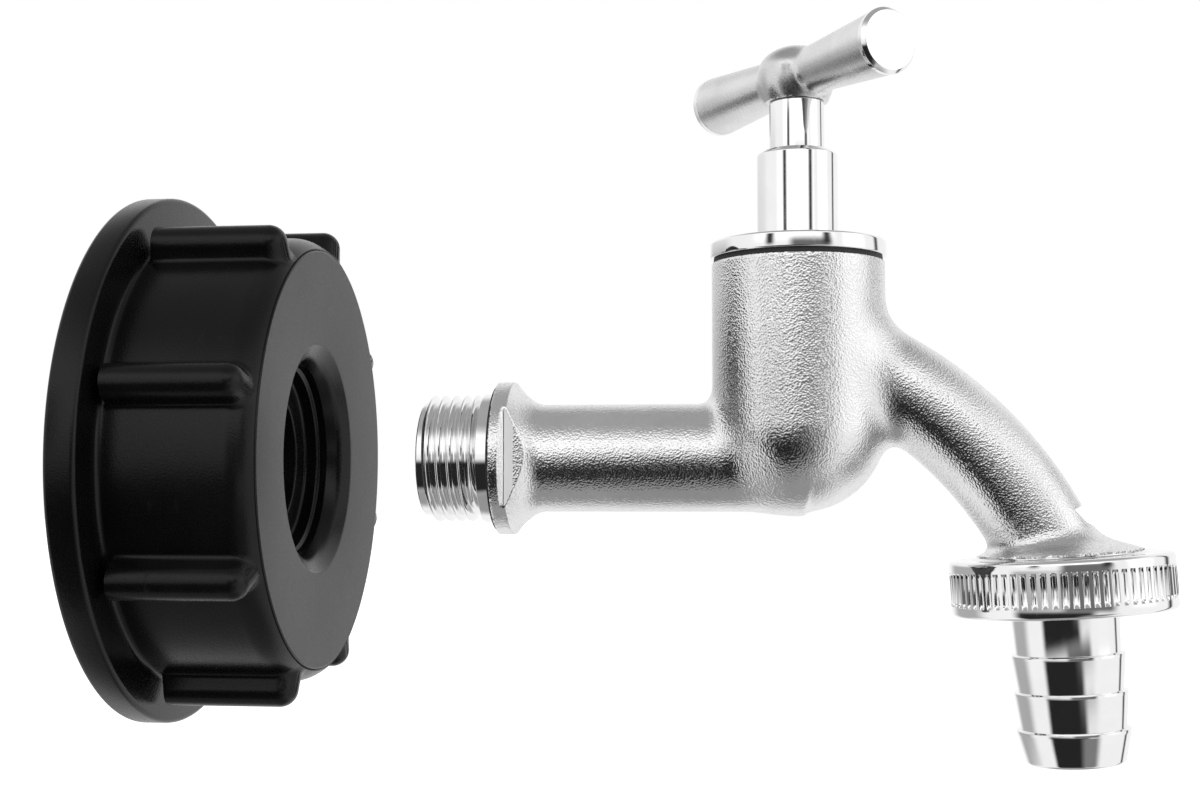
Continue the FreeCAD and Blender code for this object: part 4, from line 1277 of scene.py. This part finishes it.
@dataclass
class Union:
    """The knurled nut and the barbed nozzle that it holds."""

    nut_radius: float = 17.4
    nut_rise: float = 4.1
    nut_bottom: float = -4.7
    nut_edge: float = 1.0
    nut_bore: float = 13.25
    lip_top: float = -2.75
    hole_radius: float = 8.95
    flutes: int = 72
    flute_depth: float = 0.55
    band_low: float = -3.0
    band_high: float = 2.4
    collar_radius: float = 12.9
    collar_top: float = -1.0
    collar_bottom: float = -2.7
    guide_radius: float = 8.85
    guide_end: float = -5.0
    neck_radius: float = 8.4
    waist_radius: float = 8.1
    barb_radius: float = 8.75
    barb_first: float = 11.2
    barb_pitch: float = 5.85
    barbs: int = 3
    barb_land: float = 0.5
    length: float = 28.3
    end_radius: float = 7.6
    bore_radius: float = 5.6
    thread: ThreadForm = field(default_factory=lambda: ThreadForm(1.8143, 1.05, 0.25, 1.5))

    def nut(self) -> bpy.types.Object:
        """Skins the nut with a fluted band between plain rims.

        Returns:
            The nut.
        """
        edge = self.nut_edge
        outline = rounded([
            (self.nut_bore, self.lip_top, 0.1),
            (self.hole_radius, self.lip_top, 0.1),
            (self.hole_radius, self.nut_bottom, 0.3),
            (self.nut_radius, self.nut_bottom, edge),
            (self.nut_radius, self.band_low - 0.25, 0),
            (self.nut_radius, self.band_low, 0),
            (self.nut_radius, self.band_low + 0.3, 0),
            (self.nut_radius, self.band_low + 0.8, 0),
            (self.nut_radius, self.band_high - 0.8, 0),
            (self.nut_radius, self.band_high - 0.3, 0),
            (self.nut_radius, self.band_high, 0),
            (self.nut_radius, self.band_high + 0.25, 0),
            (self.nut_radius, self.nut_rise, edge),
            (self.nut_bore + 0.5, self.nut_rise, 0.1),
            (self.nut_bore, self.nut_rise - 0.5, 0.1),
        ])
        columns = self.flutes * 16
        angle = np.linspace(0, TURN, columns, endpoint=False)
        radius, angles = np.meshgrid(outline[:, 0], angle, indexing="ij")
        run = np.repeat(outline[:, 1][:, None], columns, axis=1)
        outer = radius > self.nut_radius - 1e-4
        fade = np.clip(np.minimum(run - self.band_low, self.band_high - run) / 0.5, 0, 1)
        wave = 0.5 - 0.5 * np.cos(angles * self.flutes)
        cut = self.flute_depth * np.clip((wave - 0.30) / 0.45, 0, 1)
        radius = radius - np.where(outer, fade * cut, 0)
        return mesh_from_rows("knurled_nut", OUTLET.points(radius, angles, run), True, 30)

    def nozzle(self) -> bpy.types.Object:
        """Turns the nozzle: collar, guide, neck, saw-tooth barbs and rounded end.

        Returns:
            The nozzle.
        """
        corners = [
            (self.bore_radius, self.collar_top, 0.2), (self.bore_radius, -self.length, 0.5),
            (self.end_radius, -self.length, 0.7),
        ]
        for tooth in range(self.barbs - 1, -1, -1):
            crest = -(self.barb_first + self.barb_pitch * tooth)
            corners += [
                (self.barb_radius, crest - self.barb_land, 0.5), (self.barb_radius, crest, 0.08),
                (self.waist_radius, crest + 0.12, 0.06),
            ]
        corners += [
            (self.neck_radius, self.guide_end, 0.05), (self.guide_radius, self.guide_end, 0.05),
            (self.guide_radius, self.collar_bottom, 0.05), (self.collar_radius, self.collar_bottom, 0.2),
            (self.collar_radius, self.collar_top, 0.2),
        ]
        return lathe("barbed_nozzle", OUTLET, corners)

    def build(self, looks: dict[str, bpy.types.Material]) -> None:
        """Makes the nut, its thread and the nozzle.

        Args:
            looks: The materials by name.
        """
        nut = self.nut()
        ridge = thread_ridge("nut_thread", OUTLET, self.thread, self.nut_bore + 0.02, self.collar_top + 1.6,
                             self.nut_rise - 0.5, 0.4, True)
        nozzle = self.nozzle()
        for piece, body in ((nut, "nut"), (ridge, "nut"), (nozzle, "nozzle")):
            piece.data.materials.append(looks["polished_plate"])
            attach(piece, body)
        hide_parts("union_nut")
        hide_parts("hose_nozzle")
        LOG.info("union: nut with %d flutes and nozzle with %d barbs", self.flutes, self.barbs)


# ---------------------------------------------------------------- the pieces kept from the frame

@dataclass
class KeptPieces:
    """CAD nodes whose shape stays and that get a finish."""

    finishes: dict[str, str] = field(default_factory=lambda: {
        "tank_gasket": "black_rubber", "inlet_seal": "black_rubber", "bonnet_seal": "black_rubber",
        "thrust_washer": "pale_nylon", "lower_stem_seal": "black_rubber", "upper_stem_seal": "black_rubber",
        "jumper": "turned_brass", "jumper_pin": "plain_steel", "seat_washer": "black_rubber",
        "washer_nut": "turned_brass", "handle_screw": "plain_steel", "nozzle_gasket": "black_rubber",
    })

    def build(self, looks: dict[str, bpy.types.Material]) -> None:
        """Gives each kept node its finish.

        Args:
            looks: The materials by name.
        """
        for node, finish in self.finishes.items():
            mesh = frame["nodes"][node].data
            mesh.materials.clear()
            mesh.materials.append(looks[finish])
        LOG.info("kept %d pieces", len(self.finishes))


# ---------------------------------------------------------------- the studio

@dataclass(frozen=True)
class Panel:
    """A soft-edged patch of the light tent, placed by its bearing from the camera's side and its height."""

    bearing: float
    half_width: float
    height: float
    half_height: float
    soft: float
    shade: float


PANELS = (
    Panel(0, 200, 70, 24, 14, 0.40),
    Panel(0, 200, -78, 20, 10, 0.34),
    Panel(-128, 26, -12, 22, 12, 0.45),
    Panel(-5, 52, 24, 15, 9, 1.35),
    Panel(78, 16, 16, 16, 6, 1.4),
    Panel(17, 26, 1, 9, 6, 0.16),
    Panel(-18, 40, -33, 27, 6, 0.02),
    Panel(30, 18, -36, 18, 9, 0.22),
    Panel(-36, 5, 12, 10, 4, 0.04),
    Panel(38, 5, 12, 10, 4, 0.04),
    Panel(121, 4, 0, 34, 4, 0.04),
)


def panel_group() -> bpy.types.NodeTree:
    """Builds the soft box mask that places one panel of the tent.

    Returns:
        The group, which puts out Mask.
    """
    inputs = {
        "Bearing": 0.0, "Height": 0.0, "Middle": 0.0, "Half Width": 10.0,
        "Level": 0.0, "Half Height": 10.0, "Soft": 5.0,
    }
    nodes, given, result = group_with("tent_panel", inputs, ["Mask"])
    masks = []
    for place, middle, half in (("Bearing", "Middle", "Half Width"), ("Height", "Level", "Half Height")):
        away = nodes.add("ShaderNodeMath", operation="SUBTRACT")
        nodes.link(given.outputs[place], away.inputs[0])
        nodes.link(given.outputs[middle], away.inputs[1])
        size = nodes.add("ShaderNodeMath", operation="ABSOLUTE")
        nodes.link(away.outputs[0], size.inputs[0])
        near = nodes.add("ShaderNodeMath", operation="SUBTRACT")
        far = nodes.add("ShaderNodeMath", operation="ADD")
        for edge in (near, far):
            nodes.link(given.outputs[half], edge.inputs[0])
            nodes.link(given.outputs["Soft"], edge.inputs[1])
        fade = nodes.add("ShaderNodeMapRange", interpolation_type="SMOOTHSTEP")
        nodes.link(size.outputs[0], fade.inputs["Value"])
        nodes.link(near.outputs[0], fade.inputs["From Min"])
        nodes.link(far.outputs[0], fade.inputs["From Max"])
        fade.inputs["To Min"].default_value = 1.0
        fade.inputs["To Max"].default_value = 0.0
        masks.append(fade)
    both = nodes.add("ShaderNodeMath", operation="MULTIPLY")
    nodes.link(masks[0].outputs["Result"], both.inputs[0])
    nodes.link(masks[1].outputs["Result"], both.inputs[1])
    nodes.link(both.outputs[0], result.inputs["Mask"])
    return nodes.tree


@dataclass
class Studio:
    """Floor, light tent and camera."""

    floor_height: float = -110.0
    tent_shade: float = 1.0
    camera_place: tuple[float, float, float] = (106.9, -264.5, -5.9)
    camera_yaw: float = 7.0
    camera_pitch: float = 3.5
    lens: float = 48.5
    sensor: float = 36.0

    def floor(self) -> None:
        """Lays the pale floor."""
        mesh = bpy.data.meshes.new("floor")
        reach, z = 6.0, self.floor_height * MM
        mesh.from_pydata([(-reach, -reach, z), (reach, -reach, z), (reach, reach, z), (-reach, reach, z)], [],
                         [[0, 1, 2, 3]])
        floor = bpy.data.objects.new("floor", mesh)
        bpy.context.scene.collection.objects.link(floor)
        made = bpy.data.materials.new("pale_floor")
        made.use_nodes = True
        nodes = Nodes(made.node_tree)
        matte = nodes.add("ShaderNodeBsdfDiffuse")
        matte.inputs["Color"].default_value = (0.93, 0.93, 0.93, 1)
        glow = nodes.add("ShaderNodeEmission", Strength=0.0)
        seen = nodes.add("ShaderNodeLightPath")
        lift = nodes.add("ShaderNodeMath", operation="MULTIPLY")
        lift.inputs[1].default_value = 0.6
        nodes.link(seen.outputs["Is Camera Ray"], lift.inputs[0])
        nodes.link(lift.outputs[0], glow.inputs["Strength"])
        both = nodes.add("ShaderNodeAddShader")
        nodes.link(matte.outputs[0], both.inputs[0])
        nodes.link(glow.outputs[0], both.inputs[1])
        nodes.link(both.outputs[0], made.node_tree.nodes["Material Output"].inputs["Surface"])
        mesh.materials.append(made)
        floor.visible_glossy = False

    def world(self) -> None:
        """Sets a light tent of soft panels, seen by the metal and not by the camera."""
        world = bpy.data.worlds.new("tent")
        bpy.context.scene.world = world
        world.use_nodes = True
        nodes = Nodes(world.node_tree)
        backdrop = world.node_tree.nodes["Background"]
        where = nodes.add("ShaderNodeTexCoord")
        apart = nodes.add("ShaderNodeSeparateXYZ")
        nodes.link(where.outputs["Generated"], apart.inputs[0])
        toward = nodes.add("ShaderNodeMath", operation="MULTIPLY")
        toward.inputs[1].default_value = -1.0
        nodes.link(apart.outputs["Y"], toward.inputs[0])
        turned = nodes.add("ShaderNodeMath", operation="ARCTAN2")
        nodes.link(apart.outputs["X"], turned.inputs[0])
        nodes.link(toward.outputs[0], turned.inputs[1])
        raised = nodes.add("ShaderNodeMath", operation="ARCSINE")
        nodes.link(apart.outputs["Z"], raised.inputs[0])
        degrees = []
        for angle in (turned, raised):
            scaled = nodes.add("ShaderNodeMath", operation="DEGREES")
            nodes.link(angle.outputs[0], scaled.inputs[0])
            degrees.append(scaled.outputs[0])
        tree = panel_group()
        tone = nodes.add("ShaderNodeValue")
        tone.outputs[0].default_value = self.tent_shade
        shade = tone.outputs[0]
        for panel in PANELS:
            mask = nodes.tree.nodes.new("ShaderNodeGroup")
            mask.node_tree = tree
            nodes.link(degrees[0], mask.inputs["Bearing"])
            nodes.link(degrees[1], mask.inputs["Height"])
            for label, value in (
                    ("Middle", panel.bearing), ("Half Width", panel.half_width), ("Level", panel.height),
                    ("Half Height", panel.half_height), ("Soft", panel.soft)):
                mask.inputs[label].default_value = value
            blend = nodes.add("ShaderNodeMix", data_type="FLOAT")
            blend.inputs["B"].default_value = panel.shade
            nodes.link(mask.outputs["Mask"], blend.inputs["Factor"])
            nodes.link(shade, blend.inputs["A"])
            shade = blend.outputs["Result"]
        seen = nodes.add("ShaderNodeLightPath")
        pick = nodes.add("ShaderNodeMix", data_type="FLOAT")
        pick.inputs["B"].default_value = 1.0
        nodes.link(seen.outputs["Is Camera Ray"], pick.inputs["Factor"])
        nodes.link(shade, pick.inputs["A"])
        nodes.link(pick.outputs["Result"], backdrop.inputs["Color"])

    def camera(self) -> None:
        """Stands the camera in front of the tap, turned a little towards the cap."""
        data = bpy.data.cameras.new("camera")
        data.lens = self.lens
        data.sensor_width = self.sensor
        data.clip_start = 0.01
        data.clip_end = 50
        camera = bpy.data.objects.new("camera", data)
        bpy.context.scene.collection.objects.link(camera)
        camera.location = Vector(self.camera_place) * MM
        camera.rotation_euler = (math.radians(90 + self.camera_pitch), 0, math.radians(self.camera_yaw))
        bpy.context.scene.camera = camera

    def build(self) -> None:
        """Sets up the whole studio."""
        bpy.context.scene.view_settings.view_transform = "Standard"
        self.floor()
        self.world()
        self.camera()
        LOG.info("studio: floor, tent of %d panels and camera", len(PANELS))


def main() -> None:
    """Builds the studio and every piece in order."""
    logging.basicConfig(level=logging.INFO)
    Studio().build()
    effects = Effects()
    looks = {finish.name: finish.material(effects) for finish in FINISHES}
    for assembly in (AdapterCap(), CastBody(), Headwork(), THandle(), Union(), KeptPieces()):
        assembly.build(looks)


if __name__ == "__main__":
    main()
